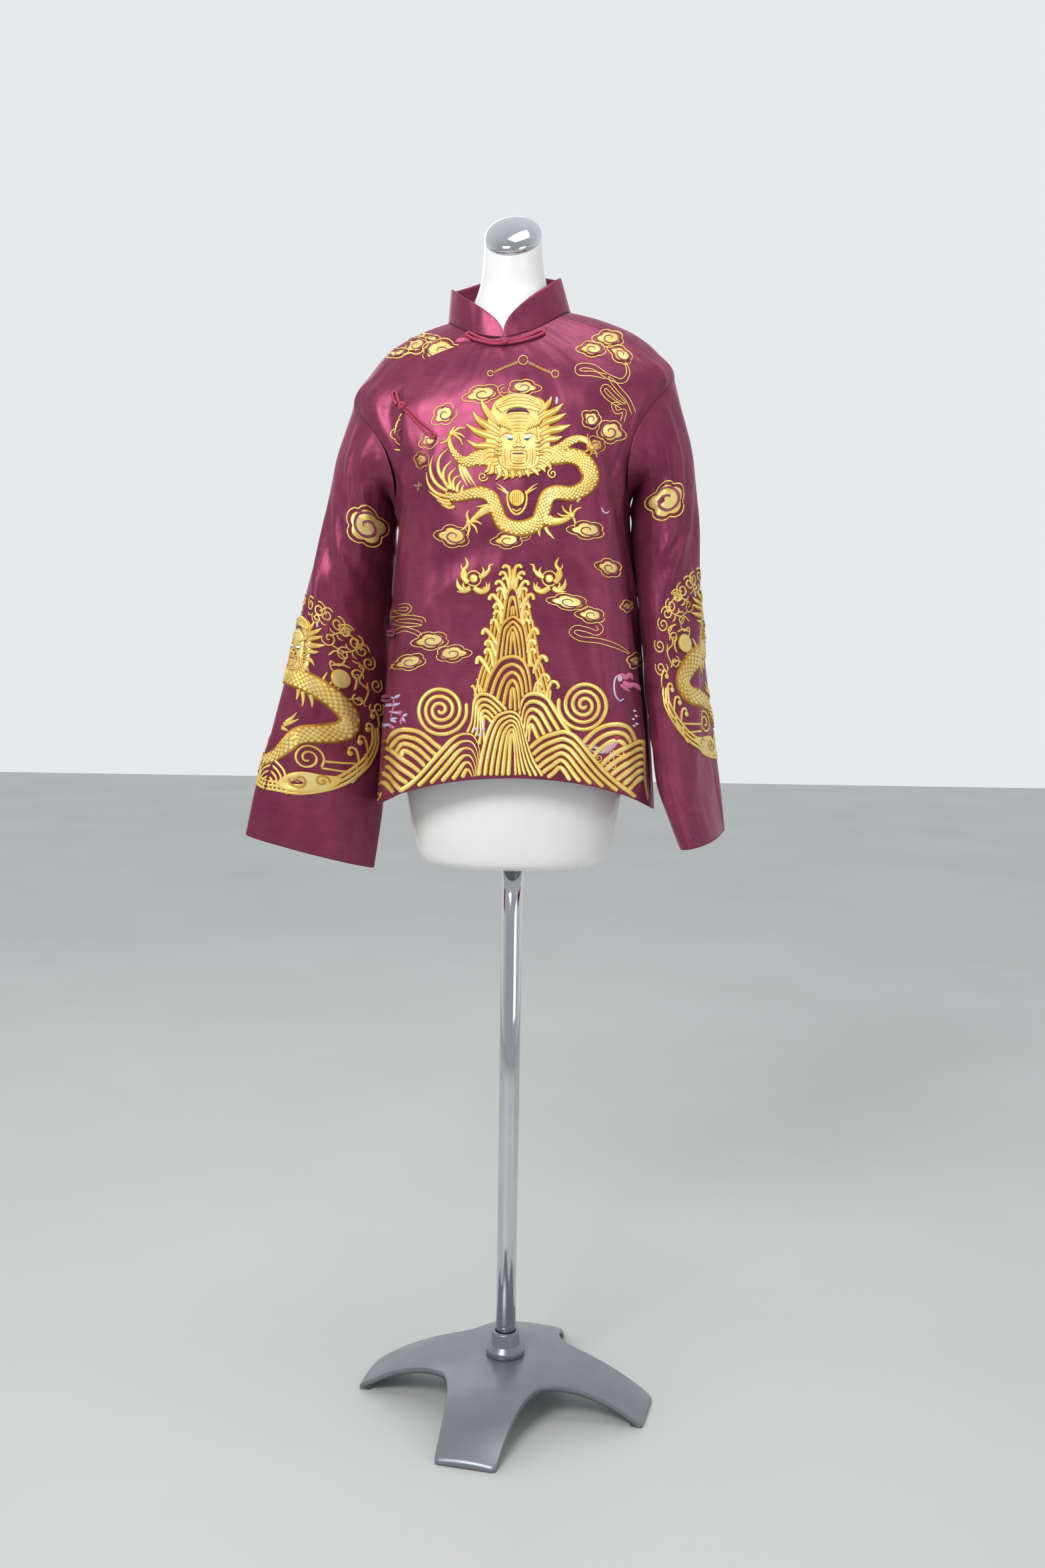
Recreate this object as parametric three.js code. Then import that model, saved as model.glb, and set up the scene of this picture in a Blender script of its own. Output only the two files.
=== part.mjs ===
// A magua jacket on a limbless dress form with its stand.
// Millimetres, +Z up, the front faces -Y and the wearer's left is +X.
import * as THREE from 'three';
import { mergeVertices } from 'three/addons/utils/BufferGeometryUtils.js';

// ---- driving dimensions -------------------------------------------------
const WALL = 1.6;                 // thickness of the satin with its backing
const COLLAR_WALL = 2.2;          // the stand collar is stiffened
const SEAM_GAP = 0.3;             // clearance between two sewn pieces
const OVERLAP_SINK = 3.3;         // how far the under-lap lies below the main front
const SEAT_GAP = 1.2;             // clearance between the form and the cloth on it
const COLLAR_SIDE_HEIGHT = 42;
const COLLAR_BACK_HEIGHT = 46;
const COLLAR_CORNER = 42;         // degrees of the neckline taken by each round corner
const ARMHOLE_FRONT = 38;         // degrees that the armhole cuts into the front
const ARMHOLE_BACK = 33;
const UNDERARM_LEVEL = 4;
const TIP_LEVEL = 6;
const NECK_LEVEL = 10;
const ARMHOLE_STEPS = 10;         // mesh steps up one side of an armhole
const PANEL_COLUMNS = 22;

// The columns of a torso section: heights at the side, front and back, half width, depths
// to front and back, squareness, sideways shift, turn in degrees and sideways tilt.
const SECTION_COLUMNS = [
  'side', 'front', 'back', 'half', 'chest', 'spine', 'square', 'shift', 'turn', 'tilt',
];
function sections(rows) {
  return rows.map((row) => Object.fromEntries(SECTION_COLUMNS.map((name, i) => [name, row[i]])));
}

// The body of the jacket, one row for each level from the hem to the neckline.
const BODY = sections([
  [843, 893, 868, 188, 140, 124, 0.05, 3, 0, 0],
  [940, 965, 950, 181, 140, 118, 0.05, 2, 0, 0],
  [1045, 1050, 1048, 171, 138, 112, 0.05, 0, -1, 0.01],
  [1150, 1145, 1150, 162, 134, 108, 0.05, -3, -1.5, 0.035],
  [1245, 1232, 1245, 157, 131, 110, 0.05, -6, -2, 0.06],
  [1322, 1300, 1322, 186, 124, 108, 0.05, -8, -2.5, 0.075],
  [1394, 1360, 1394, 213, 113, 101, 0.04, -8, -3, 0.085],
  [1432, 1394, 1434, 190, 104, 94, 0.02, -8, -3.5, 0.078],
  [1460, 1420, 1466, 160, 94, 86, 0, -10, -4, 0.068],
  [1480, 1439, 1492, 118, 84, 77, 0, -12, -4.5, 0.07],
  [1491, 1454, 1512, 81, 74, 66, 0, -15, -5, 0.086],
]);

// The largest folds of the body: where each is centred, how far it spreads and how far it
// stands out from the cloth around it (a trough where that is negative).
const BODY_FOLDS = [
  { angle: -68, level: 2.1, width: 10, length: 1.1, rise: -6 },
  { angle: -48, level: 2.0, width: 9, length: 1.3, rise: 4 },
  { angle: -20, level: 1.2, width: 10, length: 1.1, rise: -3 },
  { angle: 24, level: 1.4, width: 10, length: 1.2, rise: -3 },
  { angle: 50, level: 2.2, width: 9, length: 1.4, rise: 4 },
  { angle: 68, level: 2.8, width: 8, length: 1.4, rise: -6 },
  { angle: 112, level: 2.4, width: 9, length: 1.4, rise: -5 },
  { angle: 150, level: 1.8, width: 12, length: 1.5, rise: 4 },
  { angle: 180, level: 2.2, width: 12, length: 1.3, rise: -4 },
  { angle: -150, level: 1.8, width: 12, length: 1.5, rise: 4 },
  { angle: -112, level: 2.4, width: 9, length: 1.4, rise: -5 },
];

// The hollow where the under-lap falls in beside the free edge of the main front.
const HOLLOW = { angle: -43, level: 6.0, width: 6, length: 0.75, depth: 13 };

// The free edge of the main front: its angle round the body at each level.
const OPENING = [
  { level: 0, angle: -90 },
  { level: 2.6, angle: -90 },
  { level: 3.2, angle: -78 },
  { level: 4, angle: -57 },
  { level: 4.7, angle: -46 },
  { level: 5.4, angle: -37 },
  { level: 6, angle: -34 },
  { level: 7, angle: -43 },
  { level: 7.9, angle: -41 },
  { level: 9.2, angle: -28 },
  { level: 9.7, angle: -14 },
  { level: 10, angle: -2 },
];
const UNDERLAP_FOOT = 3.2;        // level where the under-lap ends
const UNDERLAP_WIDTH = 14;        // degrees of it that the main front covers

// The sleeves below the armhole: centre, sideways slope of the ring, half length and half
// breadth of the flattened tube, direction of its outer fold (degrees from outwards to the
// front) and how far the cloth has slipped round from there.
const SLEEVE_RIGHT = [
  { x: 204, y: 10, z: 1280, slope: 0.95, long: 74, short: 34, fold: 88, slip: 88 },
  { x: 214, y: 12, z: 1206, slope: 0.5, long: 71, short: 42, fold: 80, slip: 76 },
  { x: 224, y: 12, z: 1130, slope: 0.3, long: 76, short: 41, fold: 60, slip: 52 },
  { x: 232, y: 9, z: 1060, slope: 0.25, long: 81, short: 37, fold: 50, slip: 30 },
  { x: 241, y: 5, z: 988, slope: 0.25, long: 86, short: 33, fold: 43, slip: 14 },
  { x: 251, y: 2, z: 920, slope: 0.27, long: 89, short: 30, fold: 37, slip: 5 },
  { x: 264, y: 0, z: 848, slope: 0.29, long: 91, short: 27, fold: 29, slip: 0 },
  { x: 277, y: 0, z: 775, slope: 0.31, long: 90, short: 24, fold: 22, slip: 0 },
];
const SLEEVE_LEFT = [
  { x: 192, y: -10, z: 1296, slope: 0.95, long: 74, short: 34, fold: -88, slip: -88 },
  { x: 199, y: -12, z: 1220, slope: 0.45, long: 74, short: 40, fold: -83, slip: -72 },
  { x: 204, y: -12, z: 1145, slope: 0.2, long: 76, short: 39, fold: -76, slip: -50 },
  { x: 213, y: -12, z: 1060, slope: 0.12, long: 81, short: 34, fold: -70, slip: -32 },
  { x: 224, y: -10, z: 970, slope: 0.12, long: 85, short: 31, fold: -67, slip: -18 },
  { x: 239, y: -8, z: 885, slope: 0.15, long: 88, short: 28, fold: -68, slip: -8 },
  { x: 261, y: -6, z: 803, slope: 0.2, long: 92, short: 22, fold: -75, slip: 0 },
];
const SLEEVE_COLUMNS = 2 * ARMHOLE_STEPS;

// The dress form below the shoulders.
const FORM = sections([
  [764, 764, 764, 112, 78, 76, 0, 0, 0, 0],
  [776, 776, 776, 128, 91, 89, 0, 0, 0, 0],
  [830, 830, 830, 142, 100, 97, 0, 0, 0, 0],
  [905, 905, 905, 149, 102, 99, 0, 0, 0, 0],
  [990, 990, 990, 134, 96, 90, 0, 0, 0, 0],
  [1080, 1080, 1080, 112, 88, 80, 0, -1, 0, 0.01],
  [1170, 1165, 1170, 121, 98, 83, 0, -3, -1, 0.03],
  [1260, 1245, 1260, 136, 113, 89, 0, -6, -2, 0.06],
  [1335, 1305, 1335, 146, 105, 89, 0, -8, -2.5, 0.075],
  [1400, 1352, 1396, 164, 98, 84, 0, -8, -3, 0.085],
]);
const FORM_SHOULDER_LEVELS = [7.5, 8, 8.5, 9, 9.5, 10];
// The neck: height of the ring's centre, radius, centre, slope towards the back and tilt.
const NECK = [
  { z: 1499, radius: 60, x: -13, y: -5, rise: 0.32, tilt: 0.086 },
  { z: 1524, radius: 47, x: -11, y: -9, rise: 0.3, tilt: 0.086 },
  { z: 1548, radius: 40.5, x: -11, y: -12, rise: 0.5, tilt: 0.09 },
  { z: 1590, radius: 37.5, x: -11.5, y: -15, rise: 0.78, tilt: 0.1 },
];
const FORM_COLUMNS = 28;
const CAP_EDGE = 4;
const CAP_DOME = 17;

const POLE_RADIUS = 14;
const FLANGE_RADIUS = 46;
const FLANGE_THICK = 7;
const HUB_RADIUS = 27;
const HUB_HEIGHT = 34;
const BASE_REACH = 205;           // from the axis to the end of a leg
const BASE_HEIGHT = 62;
const BASE_THICK = 8;
const FOOT_HALF_WIDTH = 42;
const FOOT_PAD = 13;              // length of the flat underside of a foot
const WAIST_REACH = 100;          // from the axis to the edge between two legs
const BASE_TURN = -14;            // the front leg points a little to the wearer's right

const CORD_RADIUS = 2.2;
const KNOT_RADIUS = 6;
const FROG_LIFT = 0.3;            // clearance between a frog and the cloth it is sewn to

const SATIN = { color: '#6e2348', roughness: 0.42, metalness: 0 };
const FROG = { color: '#b0264f', roughness: 0.5, metalness: 0 };
const GLOSS_WHITE = { color: '#e6e6e3', roughness: 0.15, metalness: 0 };
const CHROME = { color: '#c9ccd0', roughness: 0.06, metalness: 1 };
const SATIN_GREY = { color: '#7b8086', roughness: 0.4, metalness: 0.6 };

// ---- curves and sections ------------------------------------------------
const radians = THREE.MathUtils.degToRad;

function catmull(before, from, to, after, t) {
  const pull = (to - before) / 2;
  const push = (after - from) / 2;
  const rise = from - to;
  return ((2 * rise + pull + push) * t - (3 * rise + 2 * pull + push)) * t * t + pull * t + from;
}

// A value of one column at a level that may lie between two rows.
function columnAt(rows, column, level) {
  const last = rows.length - 1;
  const row = Math.min(Math.max(Math.floor(level), 0), last - 1);
  const near = (index) => rows[Math.min(Math.max(index, 0), last)][column];
  return catmull(near(row - 1), near(row), near(row + 1), near(row + 2), level - row);
}

function rowAt(rows, level) {
  const entries = Object.keys(rows[0]).map((column) => [column, columnAt(rows, column, level)]);
  return Object.fromEntries(entries);
}

// A point of a torso section: angle 0 is the front and 90 the wearer's left.
function sectionPoint(row, angle, swell = 0) {
  const a = radians(angle);
  const across = (Math.sin(a) + row.square * Math.sin(3 * a)) / (1 - row.square);
  const along = (Math.cos(a) - row.square * Math.cos(3 * a)) / (1 - row.square);
  const facing = Math.cos(a) > 0;
  const depth = facing ? row.chest : row.spine;
  const end = facing ? row.front : row.back;
  const x = across * (row.half + swell);
  const y = -along * (depth + swell);
  const turn = radians(row.turn);
  const height = row.side + (end - row.side) * Math.cos(a) ** 2 + row.tilt * x;
  const turnedX = x * Math.cos(turn) - y * Math.sin(turn) + row.shift;
  const turnedY = x * Math.sin(turn) + y * Math.cos(turn);
  return new THREE.Vector3(turnedX, turnedY, height);
}

function angleBetween(a, b) {
  return ((a - b + 540) % 360) - 180;
}

function bump(distance, width) {
  return Math.exp(-((distance / width) ** 2));
}

function bodyFold(angle, level) {
  const along = (fold) => bump(level - fold.level, fold.length);
  const across = (fold) => bump(angleBetween(angle, fold.angle), fold.width);
  return BODY_FOLDS.reduce((sum, fold) => sum + fold.rise * across(fold) * along(fold), 0);
}

function bodySurface(angle, level) {
  return sectionPoint(rowAt(BODY, level), angle, bodyFold(angle, level));
}

// The outward normal of a surface given as a function of two values.
function normalOf(surface, u, v, stepU, stepV, sign = 1) {
  const alongU = surface(u + stepU, v).sub(surface(u - stepU, v));
  const alongV = surface(u, v + stepV).sub(surface(u, v - stepV));
  return alongU.cross(alongV).normalize().multiplyScalar(sign);
}

function bodyNormal(angle, level) {
  return normalOf(bodySurface, angle, Math.min(level, NECK_LEVEL - 0.02), 0.5, 0.02);
}

// ---- armholes and sleeves -----------------------------------------------
// turn runs once round the armhole: 0 at the shoulder tip, 0.25 in front, 0.5 underarm.
function armholePlace(side, turn) {
  const around = turn * 2 * Math.PI;
  const cut = Math.sin(around) > 0 ? ARMHOLE_FRONT : ARMHOLE_BACK;
  const angle = 90 - cut * Math.sin(around);
  const level = UNDERARM_LEVEL + (TIP_LEVEL - UNDERARM_LEVEL) * (1 + Math.cos(around)) / 2;
  return { angle: side * angle, level };
}

function armholePoint(side, turn) {
  const place = armholePlace(side, turn);
  return bodySurface(place.angle, place.level);
}

function sleeveRing(side, row, turn) {
  const fold = radians(row.fold);
  const around = turn * 2 * Math.PI - radians(row.slip);
  const long = row.long * Math.cos(around);
  const short = row.short * Math.sin(around);
  const outwards = long * Math.cos(fold) - short * Math.sin(fold);
  const forwards = long * Math.sin(fold) + short * Math.cos(fold);
  return new THREE.Vector3(side * (row.x + outwards), row.y - forwards, row.z + row.slope * outwards);
}

// A point between rings: place 0 is the first ring, 1 the second and so on.
function loftPoint(rings, place) {
  const last = rings.length - 1;
  const ring = Math.min(Math.max(Math.floor(place), 0), last - 1);
  const near = (index) => rings[Math.min(Math.max(index, 0), last)];
  const corners = [near(ring - 1), near(ring), near(ring + 1), near(ring + 2)];
  const mix = (axis) => catmull(...corners.map((corner) => corner[axis]), place - ring);
  return new THREE.Vector3(mix('x'), mix('y'), mix('z'));
}

function sleeveSurface(side, rows) {
  return (turn, place) => {
    const rings = rows.map((row) => sleeveRing(side, row, turn));
    return loftPoint([armholePoint(side, turn), ...rings], place);
  };
}

function sleeveNormal(side, rows, turn, place) {
  return normalOf(sleeveSurface(side, rows), turn, Math.max(place, 0.03), 0.004, 0.02, side);
}

// At the armhole the sleeve and the body share one normal, halfway between their own.
function armholeNormal(side, turn) {
  const place = armholePlace(side, turn);
  const rows = side > 0 ? SLEEVE_LEFT : SLEEVE_RIGHT;
  return bodyNormal(place.angle, place.level).add(sleeveNormal(side, rows, turn, 0.03)).normalize();
}

// ---- meshes of cloth ----------------------------------------------------
function signedVolume(positions, index) {
  const corner = (i) => new THREE.Vector3().fromArray(positions, 3 * index[i]);
  let volume = 0;
  for (let i = 0; i < index.length; i += 3) {
    volume += corner(i).dot(corner(i + 1).cross(corner(i + 2))) / 6;
  }
  return volume;
}

function solid(points, triangles) {
  const positions = points.flatMap((point) => point.toArray());
  const facesIn = signedVolume(positions, triangles.flat()) < 0;
  const index = triangles.flatMap(([a, b, c]) => (facesIn ? [a, c, b] : [a, b, c]));
  const geometry = new THREE.BufferGeometry();
  geometry.setAttribute('position', new THREE.Float32BufferAttribute(positions, 3));
  geometry.setIndex(index);
  geometry.computeVertexNormals();
  return geometry;
}

function quad(a, b, c, d) {
  return [[a, b, c], [a, c, d]];
}

// A wall between an outer and an inner grid of points, open all round its edge, or a tube
// where the last column joins the first.
function wall(outer, inner, tube = false) {
  const rows = outer.length;
  const columns = outer[0].length;
  const points = [...outer.flat(), ...inner.flat()];
  const out = (row, column) => row * columns + (column % columns);
  const back = (row, column) => rows * columns + out(row, column);
  const triangles = [];
  for (let row = 0; row + 1 < rows; row += 1) {
    for (let column = 0; column < (tube ? columns : columns - 1); column += 1) {
      const cell = [[row, column], [row, column + 1], [row + 1, column + 1], [row + 1, column]];
      const [a, b, c, d] = cell.map(([r, k]) => points[out(r, k)]);
      const corners = a.distanceTo(c) < b.distanceTo(d) ? cell : [...cell.slice(1), cell[0]];
      triangles.push(...quad(...corners.map(([r, k]) => out(r, k))));
      triangles.push(...quad(...corners.map(([r, k]) => back(r, k))).map((triangle) => triangle.reverse()));
    }
  }
  for (let column = 0; column < (tube ? columns : columns - 1); column += 1) {
    const top = rows - 1;
    triangles.push(...quad(out(0, column), back(0, column), back(0, column + 1), out(0, column + 1)));
    triangles.push(...quad(out(top, column), out(top, column + 1), back(top, column + 1), back(top, column)));
  }
  for (let row = 0; row + 1 < rows && !tube; row += 1) {
    const end = columns - 1;
    triangles.push(...quad(out(row, 0), out(row + 1, 0), back(row + 1, 0), back(row, 0)));
    triangles.push(...quad(out(row, end), back(row, end), back(row + 1, end), out(row + 1, end)));
  }
  return solid(points, triangles);
}

// Draws a closed loop of edge points back from the seam, within the cloth.
function drawBack(points, normals, amount) {
  const count = points.length;
  return points.map((point, i) => {
    const before = points[(i + count - 1) % count];
    const after = points[(i + 1) % count];
    const first = normals[i].clone().cross(point.clone().sub(before)).normalize();
    const second = normals[i].clone().cross(after.clone().sub(point)).normalize();
    const inwards = first.add(second).normalize();
    const corner = Math.max(inwards.dot(second), 0.5);
    return point.clone().addScaledVector(inwards, amount / corner);
  });
}

function edgePlaces(rows, columns) {
  const places = [];
  for (let column = 0; column < columns - 1; column += 1) places.push([0, column]);
  for (let row = 0; row < rows - 1; row += 1) places.push([row, columns - 1]);
  for (let column = columns - 1; column > 0; column -= 1) places.push([rows - 1, column]);
  for (let row = rows - 1; row > 0; row -= 1) places.push([row, 0]);
  return places;
}

function innerSide(outer, normals, thickness) {
  const inwards = (point, normal) => point.clone().addScaledVector(normal, -thickness);
  return outer.map((row, r) => row.map((point, c) => inwards(point, normals[r][c])));
}

// A panel of the body from rows of levels and the angles between which each row runs.
function bodyPanel({ levels, columns, from, to, sink = () => 0, fromNormal, toNormal }) {
  const normals = [];
  const outer = levels.map((level, row) => {
    const start = from(level, row);
    const width = to(level, row) - start;
    const places = Array.from({ length: columns + 1 }, (_, i) => start + width * i / columns);
    const own = places.map((angle) => bodyNormal(angle, level));
    own[0] = (fromNormal && fromNormal(row)) || own[0];
    own[columns] = (toNormal && toNormal(row)) || own[columns];
    normals.push(own);
    return places.map((angle, i) => bodySurface(angle, level).addScaledVector(own[i], -sink(angle, level)));
  });
  const edge = edgePlaces(levels.length, columns + 1);
  const along = (grid) => edge.map(([r, c]) => grid[r][c]);
  const moved = drawBack(along(outer), along(normals), SEAM_GAP / 2);
  edge.forEach(([r, c], i) => { outer[r][c] = moved[i]; });
  return wall(outer, innerSide(outer, normals, WALL));
}

// Levels from the hem to the neckline, with the armhole's own steps between.
const HEM_LEVELS = [0, 0.4, 0.85, 1.3, 1.75, 2.2, 2.65, 3.1, 3.55];
const SHOULDER_LEVELS = [6.45, 7, 7.5, 8, 8.6, 9.3, 10];
const ARMHOLE_LEVELS = Array.from({ length: ARMHOLE_STEPS + 1 }, (_, step) => {
  const { level } = armholePlace(1, 0.5 - step / SLEEVE_COLUMNS);
  return level;
});
const PANEL_LEVELS = [...HEM_LEVELS, ...ARMHOLE_LEVELS, ...SHOULDER_LEVELS];

function armholeStep(row, hemRows) {
  const step = row - hemRows;
  return step >= 0 && step <= ARMHOLE_STEPS ? step : -1;
}

// The place round the armhole that a row of a panel ends at.
function armholeTurn(step, isFront) {
  const turn = 0.5 - step / SLEEVE_COLUMNS;
  return isFront ? turn : (1 - turn) % 1;
}

function armholeAngle(side, row, isFront, hemRows = HEM_LEVELS.length) {
  const step = armholeStep(row, hemRows);
  if (step < 0) return side * 90;
  const { angle } = armholePlace(side, armholeTurn(step, isFront));
  return angle;
}

function armholeEdgeNormal(side, row, isFront, hemRows = HEM_LEVELS.length) {
  const step = armholeStep(row, hemRows);
  return step < 0 ? null : armholeNormal(side, armholeTurn(step, isFront));
}

function openingAngle(level) {
  const above = OPENING.findIndex((row) => row.level >= level);
  if (above <= 0) return OPENING[0].angle;
  const low = OPENING[above - 1];
  const high = OPENING[above];
  const t = (level - low.level) / (high.level - low.level);
  return low.angle + (high.angle - low.angle) * t;
}

function frontMain() {
  return bodyPanel({
    levels: PANEL_LEVELS,
    columns: PANEL_COLUMNS,
    from: (level) => openingAngle(level),
    to: (level, row) => armholeAngle(1, row, true),
    toNormal: (row) => armholeEdgeNormal(1, row, true),
  });
}

function backPanel() {
  return bodyPanel({
    levels: PANEL_LEVELS,
    columns: PANEL_COLUMNS,
    from: (level, row) => armholeAngle(1, row, false),
    to: (level, row) => armholeAngle(-1, row, false) + 360,
    fromNormal: (row) => armholeEdgeNormal(1, row, false),
    toNormal: (row) => armholeEdgeNormal(-1, row, false),
  });
}

function hollowDepth(angle, level) {
  const across = bump(angle - HOLLOW.angle, HOLLOW.width);
  return HOLLOW.depth * across * bump(level - HOLLOW.level, HOLLOW.length);
}

function underlapSink(angle, level) {
  const edge = openingAngle(level);
  const cover = THREE.MathUtils.smoothstep(angle, edge - 16, edge - 6);
  const foot = 1 - THREE.MathUtils.smoothstep(level, 3.5, UNDERARM_LEVEL);
  return OVERLAP_SINK * Math.max(cover, foot) + hollowDepth(angle, level);
}

function frontUnder() {
  const footLevels = [UNDERLAP_FOOT, 3.6];
  return bodyPanel({
    levels: [...footLevels, ...ARMHOLE_LEVELS, ...SHOULDER_LEVELS],
    columns: 9,
    from: (level, row) => armholeAngle(-1, row, true, footLevels.length) + (row < footLevels.length ? 2 : 0),
    to: (level) => Math.min(openingAngle(level) + UNDERLAP_WIDTH, 3),
    fromNormal: (row) => armholeEdgeNormal(-1, row, true, footLevels.length),
    sink: underlapSink,
  });
}

function sleeve(side, rows) {
  const surface = sleeveSurface(side, rows);
  const places = [0, 0.3, 0.65];
  for (let half = 2; half <= 2 * rows.length; half += 1) places.push(half / 2);
  const turns = Array.from({ length: SLEEVE_COLUMNS }, (_, i) => i / SLEEVE_COLUMNS);
  const outer = places.map((place) => turns.map((turn) => surface(turn, place)));
  const normals = places.map((place) => turns.map((turn) => sleeveNormal(side, rows, turn, place)));
  normals[0] = turns.map((turn) => armholeNormal(side, turn));
  outer[0] = drawBack(outer[0], normals[0], side * SEAM_GAP / 2);
  return wall(outer, innerSide(outer, normals, WALL), true);
}

// ---- collar and frogs ---------------------------------------------------
// A point of the collar: height 0 is the neckline seam and 1 the full top edge.
function collarSurface(angle, height) {
  const base = bodySurface(angle, NECK_LEVEL);
  const shift = columnAt(BODY, 'shift', NECK_LEVEL);
  const back = 0.5 - 0.5 * Math.cos(radians(angle));
  const full = COLLAR_SIDE_HEIGHT + (COLLAR_BACK_HEIGHT - COLLAR_SIDE_HEIGHT) * back;
  const draw = 1 - 0.1 * height;
  const x = shift + (base.x - shift) * draw - 5 * height;
  return new THREE.Vector3(x, base.y * draw, base.z + SEAM_GAP + full * height);
}

function collar() {
  const columns = 36;
  const heights = [0, 0.3, 0.65, 1];
  const gap = 0.5;
  const normals = [];
  const outer = heights.map(() => []);
  heights.forEach(() => normals.push([]));
  for (let column = 0; column <= columns; column += 1) {
    const even = 2 * column / columns - 1;
    const angle = 180 + (180 - gap) * Math.sin(even * Math.PI / 2);
    const fromEnd = Math.min(angle, 360 - angle) - gap;
    const round = Math.min(fromEnd / COLLAR_CORNER, 1);
    const top = 0.14 + 0.86 * Math.sqrt(1 - (1 - round) ** 2);
    heights.forEach((height, row) => {
      const place = collarSurface(angle, height * top);
      outer[row].push(place);
      normals[row].push(normalOf(collarSurface, angle, height * top, 0.5, 0.02));
    });
  }
  return wall(outer, innerSide(outer, normals, COLLAR_WALL));
}

// A doubled cord, flat on the cloth, through places given as angle and level.
function frogBar(places, sink = () => 0) {
  const steps = 7;
  const marks = places.map(([angle, level]) => new THREE.Vector3(angle, level, 0));
  const curve = new THREE.CatmullRomCurve3(marks);
  const lobes = Array.from({ length: 10 }, (_, i) => {
    const a = i * Math.PI / 5;
    const pinch = 1 - 0.28 * bump(Math.cos(a), 0.35);
    return [Math.cos(a) * CORD_RADIUS * 2, Math.sin(a) * CORD_RADIUS * pinch];
  });
  const rings = [];
  for (let step = 0; step <= steps; step += 1) {
    const place = curve.getPoint(step / steps);
    const ahead = curve.getPoint(Math.min(step / steps + 0.02, 1));
    const behind = curve.getPoint(Math.max(step / steps - 0.02, 0));
    const normal = bodyNormal(place.x, place.y);
    const lift = CORD_RADIUS + FROG_LIFT - sink(place.x, place.y);
    const centre = bodySurface(place.x, place.y).addScaledVector(normal, lift);
    const run = bodySurface(ahead.x, ahead.y).sub(bodySurface(behind.x, behind.y)).normalize();
    const across = run.clone().cross(normal).normalize();
    const up = across.clone().cross(run).normalize();
    rings.push(lobes.map(([w, h]) => centre.clone().addScaledVector(across, w).addScaledVector(up, h)));
  }
  return tubeOf(rings);
}

// A closed solid through rings of points, its ends filled from their centres.
function tubeOf(rings) {
  const columns = rings[0].length;
  const middle = (ring) => ring.reduce((sum, p) => sum.add(p), new THREE.Vector3()).divideScalar(columns);
  const points = [...rings.flat(), middle(rings[0]), middle(rings[rings.length - 1])];
  const start = points.length - 2;
  const at = (row, column) => row * columns + (column % columns);
  const triangles = [];
  for (let column = 0; column < columns; column += 1) {
    for (let row = 0; row + 1 < rings.length; row += 1) {
      const above = row + 1;
      triangles.push(...quad(at(row, column), at(row, column + 1), at(above, column + 1), at(above, column)));
    }
    triangles.push([start, at(0, column + 1), at(0, column)]);
    triangles.push([start + 1, at(rings.length - 1, column), at(rings.length - 1, column + 1)]);
  }
  return solid(points, triangles);
}

function knotMesh(name, angle, level) {
  const ball = clean(new THREE.SphereGeometry(KNOT_RADIUS, 10, 7));
  const knot = part(name, ball, FROG);
  const normal = bodyNormal(angle, level);
  knot.position.copy(bodySurface(angle, level)).addScaledVector(normal, KNOT_RADIUS * 0.8 + FROG_LIFT);
  knot.quaternion.setFromUnitVectors(new THREE.Vector3(0, 1, 0), normal);
  knot.scale.set(1, 0.8, 1);
  return knot;
}

function clean(geometry) {
  geometry.deleteAttribute('normal');
  geometry.deleteAttribute('uv');
  const merged = mergeVertices(geometry, 1e-4);
  merged.computeVertexNormals();
  return merged;
}

// ---- dress form and stand -----------------------------------------------
function neckRing(row, angle) {
  const a = radians(angle);
  const x = row.radius * Math.sin(a);
  const y = -row.radius * Math.cos(a);
  return new THREE.Vector3(row.x + x, row.y + y, row.z + row.rise * y + row.tilt * x);
}

// How much deeper the form lies where the under-lap is tucked below the main front.
function underlapCover(angle, level) {
  const edge = openingAngle(level);
  const before = THREE.MathUtils.smoothstep(angle, edge - 22, edge - 8);
  const after = 1 - THREE.MathUtils.smoothstep(angle, edge + UNDERLAP_WIDTH + 8, edge + UNDERLAP_WIDTH + 22);
  return (OVERLAP_SINK + 0.4) * before * after;
}

function formRings() {
  const angles = Array.from({ length: FORM_COLUMNS }, (_, i) => 360 * i / FORM_COLUMNS);
  const inset = WALL + SEAT_GAP;
  const seat = (angle, level) => {
    const depth = inset + underlapCover(angle > 180 ? angle - 360 : angle, level);
    return bodySurface(angle, level).addScaledVector(bodyNormal(angle, level), -depth);
  };
  const torso = FORM.map((row) => angles.map((angle) => sectionPoint(row, angle)));
  const shoulders = FORM_SHOULDER_LEVELS.map((level) => angles.map((angle) => seat(angle, level)));
  const neck = NECK.map((row) => angles.map((angle) => neckRing(row, angle)));
  return [...torso, ...shoulders, ...neck];
}

function formTorso() {
  const rings = formRings();
  const fine = [];
  const smoothUpTo = FORM.length + FORM_SHOULDER_LEVELS.length;
  for (let place = 0; place <= rings.length - 1; place += 0.5) {
    const halfway = place % 1 !== 0;
    const keep = !halfway || place < FORM.length || place > smoothUpTo;
    const columns = rings[0].map((_, column) => rings.map((ring) => ring[column]));
    if (keep) fine.push(columns.map((line) => loftPoint(line, place)));
  }
  return tubeOf(fine);
}

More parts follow.
